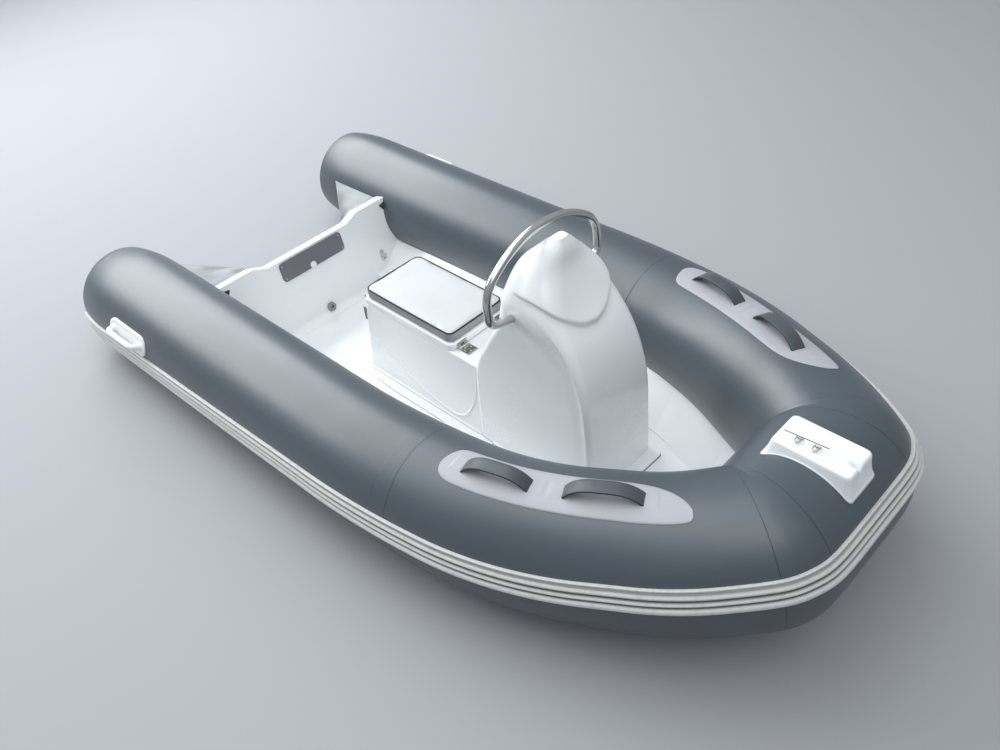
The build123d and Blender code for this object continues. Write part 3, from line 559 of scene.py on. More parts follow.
# %% [markdown]
# ## Tubes
# Each side tube ends aft in a rounded cap behind a ring seam, and meets the bow chamber in a wide taped
# lap, which shows as two fine lines. The fabric at a lap stands 0.4 mm proud.

# %% Side tubes and bow chamber
AROUND = 128
STERN_LAP, CHAMBER_LAP = (0.000, 0.034), (1.640, 1.695)  # along the tube, from and to
LAP_PROUD = 0.0004
LAP_STEPS = (-0.004, -0.0012, 0.0012, 0.004)  # rings this far from a lap's edge carry its small step
RIM = 0.0008  # one more ring this near each flat end keeps the smooth shading off the tube


def tape_lift(s):
    """How far the fabric stands proud at a taped lap."""
    lifts = []
    for a, b in (STERN_LAP, CHAMBER_LAP):
        inside = (b - a) / 2 - abs(s - (a + b) / 2)
        lifts.append(LAP_PROUD * min(max(inside / 0.0015 + 0.5, 0.0), 1.0))
    return max(lifts)


def tube_section(radius, s):
    """Offsets round a tube, with the laps' small steps."""
    return circle(radius + tape_lift(s) - LAP_PROUD / 2, AROUND)


# behind the ring seam, radius: the rounded end from its middle outwards
CAP_PROFILE = ((-0.0257, 0.018), (-0.0255, 0.050), (-0.0235, 0.090), (-0.0205, 0.120), (-0.0160, 0.148),
               (-0.0120, 0.159), (-0.0070, 0.1665), (-0.0025, 0.1702))


def stern_cap():
    """Rings of the rounded end, and their marks, the first one pulled back off the flat middle."""
    origin, out, up, along, _ = station(0.0)
    rings = [ring_at(origin + along * back, out, up, circle(radius, AROUND)) for back, radius in CAP_PROFILE]
    return rings, [back - 0.02 * (k == 0) for k, (back, _) in enumerate(CAP_PROFILE)]


lap_marks = [s + d for s in (*STERN_LAP, *CHAMBER_LAP) for d in LAP_STEPS if s + d > 0]
# place along the tube and half width of each dark line
SEAMS = [(0.002, 0.0024), *((s, 0.0012) for s in CHAMBER_LAP), *((m, 0.0016) for m in MITRE_MARKS)]
tube_fabric = coated_fabric("slate_fabric", SLATE, SEAMS)
tube_across = [j / AROUND for j in range(AROUND)]

cap_rings, cap_marks = stern_cap()
side_rings, side_marks = sweep_rings(tube_section, 0.0, CHAMBER_S, 0.04, lap_marks + [CHAMBER_S - RIM])
for side, sign in SIDES:
    piece = ring_mesh(f"side_tube_{side}", mirror_rings(cap_rings + side_rings, sign), "hull", tube_fabric,
                      "tube_grey", cap_marks + side_marks, tube_across)
    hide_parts(f"tube_{side}", f"stern_cone_{side}")
chamber, chamber_marks = whole_sweep(tube_section, CHAMBER_S, 0.02,
                                     [*(CHAMBER_LAP[1] + d for d in LAP_STEPS), CHAMBER_S + RIM])
bow_tube = ring_mesh("bow_chamber", chamber + to_starboard(chamber)[-2::-1], "hull", tube_fabric, "tube_grey",
                     chamber_marks + chamber_marks[-2::-1], tube_across)
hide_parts("tube_bow")
print("bow chamber", len(bow_tube.data.polygons), "faces")

# %% [markdown]
# ## Rub strake
# The strake is one long rubber extrusion glued to the tubes' outer side. It climbs from below the tube's
# middle at the stern to its shoulder at the bow. Its section has a thin lip, a flat, two ribs and a fat
# lower bead.

# %% The strake's section
STRAKE_TOP, STRAKE_FOOT = (-1.0, 31.0), (-22.0, 13.0)
# share of the width from the top, height above the skin in metres
STRAKE_LINE = (
    (0.000, 0.0000), (0.002, 0.0060), (0.020, 0.0095), (0.050, 0.0105), (0.080, 0.0092), (0.095, 0.0070),
    (0.110, 0.0062), (0.230, 0.0062), (0.245, 0.0070), (0.262, 0.0095), (0.300, 0.0122), (0.345, 0.0124),
    (0.385, 0.0100), (0.400, 0.0072), (0.415, 0.0062), (0.480, 0.0062), (0.495, 0.0072), (0.512, 0.0105),
    (0.550, 0.0138), (0.595, 0.0140), (0.635, 0.0108), (0.650, 0.0075), (0.665, 0.0066), (0.700, 0.0066),
    (0.712, 0.0085), (0.735, 0.0135), (0.780, 0.0168), (0.840, 0.0176), (0.900, 0.0168), (0.950, 0.0140),
    (0.985, 0.0080), (1.000, 0.0000),
)


def strake_section(radius, s):
    """The strake's front and back at a distance along the tube."""
    share = min(s / ENDS[-1], BOW_S / ENDS[-1])
    top = STRAKE_TOP[0] + (STRAKE_TOP[1] - STRAKE_TOP[0]) * share
    foot = STRAKE_FOOT[0] + (STRAKE_FOOT[1] - STRAKE_FOOT[0]) * share
    front = [(top + (foot - top) * v, lift) for v, lift in STRAKE_LINE]
    back = [(foot + (top - foot) * k / 6, -0.001) for k in range(7)]
    points = []
    for angle, lift in front + back:
        a = math.radians(angle)
        points.append(((radius + lift) * math.cos(a), (radius + lift) * math.sin(a)))
    return points


strake_across = [v for v, _ in STRAKE_LINE] + [1.0 - k / 6 for k in range(7)]
print("strake section", len(strake_across), "points")


# %% The strake's rubber
def strake_rubber():
    """White rubber with painted shade in its three grooves, and some grime."""
    rubber = Finish("strake_rubber", Specular_IOR_Level=0.4)
    _, v = rubber.uv()
    # painted shade: the three recessed flats between the ribs are darkened
    groove_shade = (v.line(0.170, 0.085) * 0.45).most(v.line(0.448, 0.070)).most(v.line(0.682, 0.052))
    grime = rubber.noise(60.0, 4.0)
    colour = rubber.mix(groove_shade, (0.60, 0.60, 0.58), (0.11, 0.11, 0.108))
    colour = rubber.mix(grime.step(0.42, 0.85) * 0.35, colour, (0.30, 0.295, 0.27))
    return rubber.wear(Base_Color=colour, Roughness=grime * 0.25 + 0.36,
                       Normal=rubber.bump(rubber.noise(700.0, 2.0), 0.0002))


strake_rings, strake_marks = whole_sweep(strake_section, 0.0, 0.03)
strake = ring_mesh("rub_strake", strake_rings + to_starboard(strake_rings)[-2::-1], "hull", strake_rubber(),
                   "strake_white", strake_marks + strake_marks[-2::-1], strake_across)
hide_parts("rub_strake_port", "rub_strake_starboard", "rub_strake_bow")
print("strake", len(strake.data.polygons), "faces")

# %% [markdown]
# ## Carry straps
# Two straps a side lie on a pale patch with rounded ends. Each strap is a flat strip that comes up through
# a slit, arches over the hand's room, and goes down through another. Past each slit a stitched tab lies
# under the patch and shows as a faint raised rectangle, which the patch's own mesh carries as a small lift.

# %% Patches
PATCH_T = 0.0022
PATCH_FIRST, PATCH_LAST = 1.7895, 2.4875  # along the tube
PATCH_MIDDLE = 84.0  # angle of its ends
PATCH_ROWS, PATCH_COLUMNS = 240, 24
# distance along the tube, angle above its outboard side
PATCH_OUTLINE = (
    (1.789, 84.0), (1.800, 97.0), (1.820, 103.5), (1.860, 105.6), (2.000, 106.2), (2.150, 106.2),
    (2.290, 105.2), (2.370, 102.8), (2.430, 96.5), (2.470, 88.0), (2.488, 80.0), (2.486, 74.0),
    (2.470, 71.3), (2.420, 70.2), (2.300, 69.8), (2.150, 70.4), (2.000, 70.2), (1.880, 69.8),
    (1.830, 70.6), (1.800, 75.0),
)
STRAPS = (("aft", 1.857, 2.064), ("fore", 2.153, 2.368))
STRAP_ANGLE, STRAP_WIDTH, STRAP_RISE = 88.5, 0.044, 0.0335
TAB, TAB_LIFT = 0.036, 0.0011  # length of a stitched tab, and how far it lifts the patch
patch_fabric = plain_finish("patch_fabric", (0.42, 0.417, 0.44), 0.42, 900.0, 0.0002, 0.05)


def patch_lift(s, angle, radius):
    """How far the patch stands up over the stitched tabs."""
    across = abs(math.radians(angle - STRAP_ANGLE)) * radius
    lift = 0.0
    for _, first, last in STRAPS:
        for a, b in ((first - TAB, first), (last, last + TAB)):
            inside = min(s - a, b - s, STRAP_WIDTH / 2 + 0.004 - across)
            lift = max(lift, min(max(inside / 0.003 + 0.5, 0.0), 1.0) * TAB_LIFT)
    return lift


def patch_mesh(sign):
    """Vertices and faces: a grid whose rows run from edge to edge of the outline, and one under it."""
    outline = np.array([tuple(p) for p in smooth_path(PATCH_OUTLINE, 8, closed=True)])
    vertices, faces = [], []
    for on_top in (True, False):
        for i in range(PATCH_ROWS + 1):
            share = 0.5 - 0.5 * math.cos(math.pi * i / PATCH_ROWS)
            s = PATCH_FIRST + (PATCH_LAST - PATCH_FIRST) * share
            crossings = []
            for (s0, a0), (s1, a1) in zip(outline, np.roll(outline, -1, axis=0)):
                if (s0 - s) * (s1 - s) <= 0 and s0 != s1:
                    crossings.append(a0 + (a1 - a0) * (s - s0) / (s1 - s0))
            low, high = (min(crossings), max(crossings)) if crossings else (PATCH_MIDDLE, PATCH_MIDDLE)
            for j in range(PATCH_COLUMNS + 1):
                angle = low + (high - low) * j / PATCH_COLUMNS
                edge = min(j, PATCH_COLUMNS - j, 2) / 2
                top = PATCH_T * (0.45 + 0.55 * edge) + patch_lift(s, angle, tube_radius(s))
                point = skin(s, angle, top if on_top else -0.001)
                vertices.append((point.x, point.y * sign, point.z))
    row, base = PATCH_COLUMNS + 1, (PATCH_ROWS + 1) * (PATCH_COLUMNS + 1)
    for i in range(PATCH_ROWS):
        for j in range(PATCH_COLUMNS):
            a = i * row + j
            faces.append((a, a + 1, a + row + 1, a + row))
            faces.append((base + a, base + a + row, base + a + row + 1, base + a + 1))
        for a in (i * row, i * row + PATCH_COLUMNS):
            faces.append((a, a + row, base + a + row, base + a))
    for start in (0, PATCH_ROWS * row):
        for j in range(PATCH_COLUMNS):
            faces.append((start + j, start + j + 1, base + start + j + 1, base + start + j))
    return vertices, faces


for side, sign in SIDES:
    piece = add_mesh(f"patch_{side}", *patch_mesh(sign), "hull", patch_fabric, "patch_white")
    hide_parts(f"strap_patch_{side}")
print("patches", len(piece.data.polygons), "faces each")

# %% Straps
STRAP_STEPS, STRAP_T = 48, 0.0042
STRAP_BEND = 3.4  # a higher power keeps the strap's middle flatter and its ends steeper
# across the strap from its middle, in widths, and height in thicknesses
STRAP_SECTION = (
    (-0.5, 0.15), (-0.49, 0.8), (-0.46, 1.0), (-0.2, 1.04), (0.0, 1.06), (0.2, 1.04), (0.46, 1.0),
    (0.49, 0.8), (0.5, 0.15), (0.49, -0.1), (0.46, -0.25), (0.0, -0.2), (-0.46, -0.25), (-0.49, -0.1),
)


def strap_rings(first, last):
    """Rings of one port strap: a flat strip that leaves the patch steeply and arches over."""
    origin, out, up, along, radius = station((first + last) / 2)
    a = math.radians(STRAP_ANGLE)
    away = out * math.cos(a) + up * math.sin(a)
    base = origin + away * (radius + PATCH_T)
    side = along.cross(away)
    half = (last - first) / 2 - 0.006
    offsets = [(x * STRAP_WIDTH, z * STRAP_T) for x, z in STRAP_SECTION]
    rings = []
    for i in range(STRAP_STEPS + 1):
        t = -1 + 2 * i / STRAP_STEPS
        rise = STRAP_RISE * (1 - abs(t) ** STRAP_BEND) - 0.003
        slope = -STRAP_RISE * STRAP_BEND * abs(t) ** (STRAP_BEND - 1) * math.copysign(1, t) / half
        normal = side.cross((along + away * slope).normalized()) * -1
        normal = normal if normal.dot(away) > 0 else -normal
        rings.append(ring_at(base + along * (t * half) + away * rise, side, normal, offsets))
    return rings


def strap_webbing():
    """Grey webbing with painted shade along its edges."""
    strap = Finish("strap_webbing", Sheen_Weight=0.1, Coat_Weight=0.2, Coat_Roughness=0.35)
    along, v = strap.uv()
    weave = (along * 2600.0).sine() * 0.5 + 0.5
    slow = strap.noise(14.0, 3.0)
    colour = strap.mix(slow.step(0.3, 0.8), (0.050, 0.065, 0.075), (0.038, 0.050, 0.058))
    # painted shade: the strap's edges and sides are darkened nearly to black
    colour = strap.mix(v.step(0.90, 0.98), colour, (0.008, 0.010, 0.013))
    return strap.wear(Base_Color=colour, Roughness=slow * 0.15 + 0.36, Normal=strap.bump(weave, 0.0002))


webbing = strap_webbing()
strap_across = [abs(x) * 2 for x, _ in STRAP_SECTION]
for side, sign in SIDES:
    for place, first, last in STRAPS:
        marks = [first + (last - first) * i / STRAP_STEPS for i in range(STRAP_STEPS + 1)]
        rings = mirror_rings(strap_rings(first, last), sign)
        piece = ring_mesh(f"strap_{place}_{side}", rings, "hull", webbing, "strap_grey", marks, strap_across)
        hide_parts(f"carry_strap_{place}_{side}")
        print(piece.name, round(last - first, 3), "m long")

# %% [markdown]
# ## Transom webs
# A light fabric web closes the corner between each end of the transom and its tube. It is stretched between
# three points, so it is a triangle that sags a little, with painted shade along its edge at the transom.

# %% Webs
WEB_TIP = Vector((-1.254, 0.397, 0.256))     # aft, on the tube
WEB_ROOT = Vector((-0.981, 0.399, 0.265))    # where tube and transom meet
WEB_INNER = Vector((-0.982, 0.204, 0.2475))  # on the transom's top edge
WEB_ROWS, WEB_COLUMNS = 26, 36
WEB_SAG = 0.010


def web_cloth():
    """Pale fabric with painted shade along its edge at the transom."""
    cloth = Finish("web_fabric", Coat_Weight=0.15, Coat_Roughness=0.4)
    x = cloth.axes()[0]
    slow, fine = cloth.noise(16.0, 3.0), cloth.noise(1000.0, 2.0)
    # painted shade: a strip along the web's transom edge is darkened
    transom_edge_shade = x.step(-1.018, -1.014)
    colour = cloth.mix(slow.step(0.3, 0.8), (0.28, 0.30, 0.31), (0.22, 0.24, 0.25))
    colour = cloth.mix(transom_edge_shade * 0.8, colour, (0.19, 0.20, 0.27))
    return cloth.wear(Base_Color=colour, Roughness=slow * 0.15 + 0.38,
                      Normal=cloth.bump(fine * 0.3 + slow, 0.0012))


def web_piece(sign, depth):
    """A sagging three-cornered sheet; depth is how deep its folds are."""
    vertices = []
    normal = (WEB_ROOT - WEB_TIP).cross(WEB_INNER - WEB_TIP).normalized()
    normal = normal if normal.z > 0 else -normal
    for i in range(WEB_ROWS + 1):
        v = i / WEB_ROWS * 0.985
        for j in range(WEB_COLUMNS + 1):
            u = j / WEB_COLUMNS
            point = (WEB_TIP.lerp(WEB_ROOT, u)).lerp(WEB_INNER, v)
            slack = math.sin(math.pi * u) * math.sin(math.pi * v)
            fold = math.sin(7.0 * u + 9.0 * v) * slack * (1 - u) * depth
            point = point - normal * (WEB_SAG * slack) + normal * fold
            vertices.append((point.x, point.y * sign, point.z))
    row = WEB_COLUMNS + 1
    faces = [(i * row + j, i * row + j + 1, (i + 1) * row + j + 1, (i + 1) * row + j)
             for i in range(WEB_ROWS) for j in range(WEB_COLUMNS)]
    return vertices, faces


web_fabric = web_cloth()
for side, sign in SIDES:
    vertices, faces = web_piece(sign, 0.004 if sign > 0 else 0.009)
    mesh = bpy.data.meshes.new(f"web_{side}")
    mesh.from_pydata(vertices, [], faces)
    mesh.materials.append(web_fabric)
    shade_smooth(mesh)
    web = in_scene(f"web_{side}", mesh)
    thick = web.modifiers.new("thickness", "SOLIDIFY")
    thick.thickness, thick.offset = 0.0012, 0.0
    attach(web, "hull")
    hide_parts(f"transom_web_{side}")

# %% [markdown]
# ## Stern handles
# Each is one white moulding: a rounded plate glued to the tube, and a thick loop to grip. The plate is a
# lifted patch of the tube's skin; the loop is a fat sweep whose roots swell into the plate.

# %% Handles
HANDLE_S, HANDLE_ANGLE = 0.365, 17.0
HANDLE_HALF, HANDLE_TALL = 0.118, 0.039  # half the plate's length and width
# distance in from the plate's rim, height above the tube's skin
PLATE_PROFILE = ((0.0, -0.004), (0.0, 0.0035), (0.0010, 0.0052), (0.0030, 0.0060), (0.010, 0.0060),
                 (0.0112, 0.0052), (0.0125, 0.0048), (0.020, 0.0047), (0.032, 0.0047), (0.0385, 0.0047))
# along the tube and away from it: half of the loop's route, from its root to its middle
LOOP_ROUTE = ((-0.088, -0.004), (-0.087, 0.012), (-0.080, 0.027), (-0.058, 0.0335), (0.0, 0.0345))


def handle_frame():
    """Middle of the plate on the skin, along the tube, away from it, over it, and the tube's radius."""
    origin, out, up, along, radius = station(HANDLE_S)
    a = math.radians(HANDLE_ANGLE)
    away = out * math.cos(a) + up * math.sin(a)
    return origin + away * radius, along, away, along.cross(away), radius


def plate_rings():
    """Rings from under the plate's rim up over its edge to its middle, following the tube's roundness."""
    centre, along, away, over, radius = handle_frame()
    rings = []
    for inset, lift in PLATE_PROFILE:
        ring = []
        for x, y, _ in rounded_ring(-HANDLE_HALF + inset, HANDLE_HALF - inset, HANDLE_TALL - inset,
                                    max(HANDLE_TALL * 0.9 - inset, 0.0004), 0.0, 14):
            drop = radius - math.sqrt(radius ** 2 - y ** 2)
            ring.append(tuple(centre + along * x + over * y + away * (lift - drop)))
        rings.append(np.array(ring))
    return rings


def loop_rings():
    """Rings of the loop, fatter where it grows out of the plate."""
    centre, along, away, over, _ = handle_frame()
    route = [*LOOP_ROUTE, *((-x, z) for x, z in LOOP_ROUTE[-2::-1])]
    path = [centre + along * x + away * z for x, z in smooth_path(route, 6)]
    sizes = []
    for i in range(len(path)):
        t = abs(2 * i / (len(path) - 1) - 1)
        sizes.append(0.0098 + 0.0062 * max(0.0, (t - 0.55) / 0.45) ** 1.4)
    return tube_rings(path, sizes, 20, squash=1.15)


for side, sign in SIDES:
    forms = joined(ring_faces(mirror_rings(rings, sign)) for rings in (plate_rings(), loop_rings()))
    piece = add_mesh(f"grab_handle_{side}", *forms, "hull", white_moulding, "moulded_white")
    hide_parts(f"stern_handle_{side}")
    print(piece.name, len(piece.data.polygons), "faces")

# %% [markdown]
# ## Hard mouldings
# The hull, deck, transom, outer motor pad, grab rail and steel fittings come straight from the CAD model:
# their shapes are plain, so they only need their finishes. Each finish is chosen by the node's material
# slot.

# %% Paint the CAD nodes
slate_cloth = plain_finish("slate_cloth", SLATE, 0.42, 1100.0, 0.0002, 0.14)
PAINT = {
    "gelcoat_white": gelcoat, "moulded_white": white_moulding, "stainless": steel, "pad_grey": pad_grey,
    "tube_grey": slate_cloth, "patch_white": patch_fabric, "strap_grey": webbing,
    "strake_white": strake.data.materials[0], "cushion_white": white_moulding,
}
for row in frame["record"]["subparts"]:
    node = nodes[row["node"]]
    node.data.materials.clear()
    node.data.materials.append(PAINT[row["material_slot"]])
for name in ("rail_socket_port", "rail_socket_starboard"):
    nodes[name].data.materials[0] = white_moulding
for name in ("seat_latch", "seat_catch"):
    nodes[name].data.materials[0] = dark_steel

# %% [markdown]
# ### Rounded blocks
# The lid, the plinth and the foam of the cushion start as slabs with rounded corners. A slab is a stack of
# rounded rectangles, drawn in at the top and the foot so that those edges are rounded too; flat surfaces
# get one ring more near each edge, which keeps smooth shading from bending across them.


# %% Slab
def slab_rings(x0, x1, half, corner, z0, z1, top_edge, foot_edge=0.0005, count=12):
    """Rings from the middle of the foot up round the edges to the middle of the top."""
    profile = [(foot_edge * 3, z0)]
    profile += [(foot_edge * (1 - math.sin(a)), z0 + foot_edge * (1 - math.cos(a)))
                for a in (0.0, 0.8, 1.5708)]
    profile += [(0.0, z1 - top_edge * 1.6)]
    profile += [(top_edge * (1 - math.cos(a)), z1 - top_edge * (1 - math.sin(a)))
                for a in (0.0, 0.4, 0.8, 1.2, 1.5708)]
    profile += [(top_edge * 2.2, z1), (min(half, (x1 - x0) / 2) * 0.6, z1)]
    return [rounded_ring(x0 + inset, x1 - inset, half - inset, max(corner - inset, 0.0006), z, count)
            for inset, z in profile]


# %% [markdown]
# ## Seat locker
# The locker is one moulding: its foot flares into the sole, its sides carry a long raised sweep, and its
# top is a shelf that runs forward to the console round the locker's mouth. It is a stack of rings that goes
# up the outside, over the shelf, and down the inside, so it stays hollow when the lid opens.

# %% Seat box
SEAT_AFT, SEAT_FORE, SEAT_HALF, BOX_TOP, BOX_FORE = -0.437, 0.003, 0.136, 0.300, 0.114
SOLE = 0.010
# height, how far the outside stands out: from the flared foot to the shelf's rounded edge
BOX_OUTSIDE = (
    (0.0102, 0.012), (0.0115, 0.0075), (0.0145, 0.0035), (0.020, 0.001), (0.028, 0.0), (0.100, 0.0),
    (0.200, 0.0), (0.285, 0.0), (0.2955, 0.0), (0.2983, -0.0008), (0.2995, -0.0022), (0.300, -0.0045),
    (0.300, -0.007),
)
# height, how far the inside is drawn in: from the mouth's edge to the locker's floor
BOX_INSIDE = (
    (0.300, 0.0), (0.2994, 0.0012), (0.297, 0.0018), (0.200, 0.002), (0.022, 0.002), (0.0165, 0.006),
)


def box_side(z):
    """Half width of the box at a height."""
    return SEAT_HALF + 0.004 * (BOX_TOP - z) / (BOX_TOP - SOLE)


def seat_box_rings():
    """Rings up the outside, over the shelf and down the inside."""
    rings = []
    for z, flare in BOX_OUTSIDE:
        aft = SEAT_AFT - 0.030 * (BOX_TOP - z) / (BOX_TOP - SOLE)
        rings.append(rounded_ring(aft - flare, BOX_FORE, box_side(z) + flare, 0.002, z, 12, 0.024 + flare))
    for z, inset in BOX_INSIDE:
        rings.append(rounded_ring(SEAT_AFT + 0.008 + inset, SEAT_FORE - 0.016 - inset,
                                  SEAT_HALF - 0.0145 - inset, 0.018, z, 12))
    return rings


# along, height: the raised line on each side of the box
SWEEP_LINE = (
    (-0.448, 0.176), (-0.400, 0.152), (-0.340, 0.121), (-0.280, 0.095), (-0.210, 0.068), (-0.150, 0.049),
    (-0.090, 0.034), (-0.032, 0.027), (0.008, 0.031), (0.042, 0.052), (0.068, 0.090), (0.088, 0.135),
    (0.101, 0.185), (0.108, 0.268),
)
SWEEP_R = 0.0042
box_forms = [ring_faces(seat_box_rings())]
for sign in (1, -1):
    path = [(x, sign * (box_side(z) + 0.0002), z) for x, z in smooth_path(SWEEP_LINE, 6)]
    sizes = [SWEEP_R * min(1.0, 0.1 + i / 14, 0.1 + (len(path) - 1 - i) / 10) for i in range(len(path))]
    box_forms.append(ring_faces(tube_rings(path, sizes, 10)))
seat_box = add_mesh("seat_locker", *joined(box_forms), "hull", gelcoat, "gelcoat_white")
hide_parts("seat_box")
print("seat locker", len(seat_box.data.polygons), "faces")

# %% Lid
LID_FOOT, LID_TOP = 0.301, 0.325
lid_rings = slab_rings(SEAT_AFT, SEAT_FORE, SEAT_HALF, 0.026, LID_FOOT, LID_TOP, 0.006, 0.0025)
lid = ring_mesh("locker_lid", lid_rings, "seat_lid", gelcoat, "gelcoat_white")
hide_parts("seat_lid")
print("lid", round(LID_TOP - LID_FOOT, 3), "m thick")

# %% [markdown]
# ## Cushion
# The cushion is foam in white vinyl with a grey side band and a black welt round its top edge. Its shape
# starts as a block a little smaller than the CAD solid, and Blender's Cloth blows it up against its own
# skin, so the top crowns and the band bulges between the corners. How far a point may move is capped, and
# its foot stays flat on the lid.

# %% Foam
CUSHION_FOOT, CUSHION_TOP = 0.3252, 0.3622


def inflate(piece, cap, frames=20, pressure=4.0):
    """Swell a closed mesh with Cloth and keep each point within cap of where it was, and above the lid."""
    start = [v.co.copy() for v in piece.data.vertices]
    cloth = piece.modifiers.new("foam", "CLOTH")
    cloth.settings.use_pressure = True
    cloth.settings.uniform_pressure_force = pressure
    cloth.settings.effector_weights.gravity = 0.0
    cloth.settings.quality = 5
    cloth.point_cache.frame_end = frames
    scene = bpy.context.scene
    for number in range(1, frames + 1):
        scene.frame_set(number)
    shaped = piece.evaluated_get(bpy.context.evaluated_depsgraph_get()).to_mesh()
    moved = [v.co.copy() for v in shaped.vertices]
    piece.to_mesh_clear()
    piece.modifiers.remove(cloth)
    scene.frame_set(1)
    for vertex, old, new in zip(piece.data.vertices, start, moved):
        step = new - old
        vertex.co = old + step * min(1.0, cap / max(step.length, 1e-9))
        vertex.co.z = max(vertex.co.z, CUSHION_FOOT)


def vinyl(name, colour, rough):
    """Grained vinyl: fine cells over a slow drift of tone."""
    grained = Finish(name, Coat_Weight=0.2, Coat_Roughness=0.35)
    cells = {"feature": "DISTANCE_TO_EDGE"}
    grain = grained.node("ShaderNodeTexVoronoi", cells, grained.place, None, 620.0)
    slow = grained.noise(9.0, 3.0)
    tint = grained.mix(slow.step(0.35, 0.75), colour, [c * 0.95 for c in colour])
    return grained.wear(Base_Color=tint, Roughness=slow * 0.12 + (rough - 0.06),
                        Normal=grained.bump(grain.least(0.12), 0.0006))


INSET = 0.0045  # the foam starts this much inside the solid, and may swell by as much
CUSHION_CORNER = 0.028
FOAM_PLAN = (SEAT_AFT + INSET, SEAT_FORE - INSET, SEAT_HALF - INSET, CUSHION_CORNER)
white_vinyl = vinyl("white_vinyl", (0.56, 0.57, 0.575), 0.42)
cushion = ring_mesh("seat_cushion_cover",
                    slab_rings(*FOAM_PLAN, CUSHION_FOOT, CUSHION_TOP - 0.003, 0.007, 0.003, 16),
                    "seat_lid", white_vinyl, "cushion_white")
remesh = cushion.modifiers.new("remesh", "REMESH")
remesh.mode, remesh.voxel_size, remesh.use_smooth_shade = "VOXEL", 0.005, True
apply_modifiers(cushion)
inflate(cushion, INSET)
smooth = cushion.modifiers.new("smooth", "SUBSURF")
smooth.levels = smooth.render_levels = 1
apply_modifiers(cushion)
shade_smooth(cushion.data)
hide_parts("seat_cushion")

# %% [markdown]
# ### Welt and side band
# The welt is sewn where the top meets the band. Rays shot at the swollen foam from outside find that edge
# all the way round, the line is smoothed, and a thin dark tube follows it. Every face below the welt takes
# the grey vinyl.

# %% Welt and side band
cushion.data.materials.clear()
cushion.data.materials.append(white_vinyl)
cushion.data.materials.append(vinyl("grey_vinyl", (0.29, 0.29, 0.295), 0.45))
form = bmesh.new()
form.from_mesh(cushion.data)
tree = BVHTree.FromBMesh(form)
WELT_R, WELT_SINK = 0.0031, 0.022  # its radius, and how far below the top the rays aim
welt_path = []
for x, y, _ in rounded_ring(*FOAM_PLAN, 0.0, 14):
    inside_x, inside_y = min(max(x, SEAT_AFT + 0.05), SEAT_FORE - 0.05), min(max(y, -0.09), 0.09)
    middle = Vector((inside_x, inside_y, CUSHION_TOP - WELT_SINK))
    away = (Vector((x, y, CUSHION_TOP)) - middle).normalized()
    welt_path.append(tree.ray_cast(middle + away * 0.2, -away)[0] + away * 0.0006)
for _ in range(3):
    after = welt_path[1:] + welt_path[:1]
    welt_path = [(welt_path[i - 1] + p * 2 + after[i]) / 4 for i, p in enumerate(welt_path)]
for face in form.faces:
    spot = face.calc_center_median()
    near = min(welt_path, key=lambda p: (p.xy - spot.xy).length_squared)
    face.material_index = 1 if spot.z < near.z else 0
form.to_mesh(cushion.data)
form.free()
welt_rings = tube_rings(welt_path, WELT_R, 10, closed=True)
ring_mesh("cushion_welt", welt_rings + welt_rings[:1], "seat_lid", black_rubber_and_gap_shade, "cushion_white",
          caps=(False, False))
highest = max(v.co.z for v in cushion.data.vertices)
print("cushion", len(cushion.data.polygons), "faces, top at", round(highest, 4))

# %% [markdown]
# ## Console
# The console is one tall pod that narrows and leans back to a rounded crown. Its sections are joined by a
# smooth line through them. The crown is a helmet that stands a finger's width proud of the sloping front;
# its lower edge hangs in a wide curve. That step is carried by the same rings, pushed out where they lie
# above the curve.

# %% Console pod
# height, aft face, front face, half width, corner radius
CONSOLE = (
    (0.010, 0.115, 0.594, 0.153, 0.020), (0.300, 0.118, 0.581, 0.151, 0.021),
    (0.430, 0.168, 0.560, 0.148, 0.025), (0.540, 0.222, 0.516, 0.148, 0.036),
    (0.640, 0.232, 0.447, 0.147, 0.062), (0.730, 0.254, 0.405, 0.108, 0.068),
    (0.790, 0.312, 0.393, 0.056, 0.038), (0.822, 0.346, 0.379, 0.022, 0.014),
)
# distance from the centreline, height: the helmet's lower edge
HELMET_EDGE = ((0.0, 0.577), (0.037, 0.584), (0.060, 0.594), (0.082, 0.609), (0.103, 0.625), (0.120, 0.642),
               (0.132, 0.661), (0.139, 0.676), (0.150, 0.684))
HELMET_RISE = 0.013
HELMET_DIP = 0.0022  # of the hollow just below the helmet's edge
FOLD_DEPTH = 0.0022  # of the shallow channel down each side, behind the front corner


def ease(value):
    """0 below 0, 1 above 1, and smooth between."""
    value = min(max(value, 0.0), 1.0)
    return value * value * (3 - 2 * value)


def pod_ring(x0, x1, half, corner, z, count=26, side=30):
    """A rounded rectangle with points along its straight sides as well as round its corners."""
    corners = rounded_ring(x0, x1, half, corner, z, count)
    ring = []
    for k in range(4):
        ring += list(corners[k * count:(k + 1) * count])
        a, b = corners[(k + 1) * count - 1], corners[(k + 1) * count % len(corners)]
        ring += [a + (b - a) * i / side for i in range(1, side)]
    return np.array(ring)


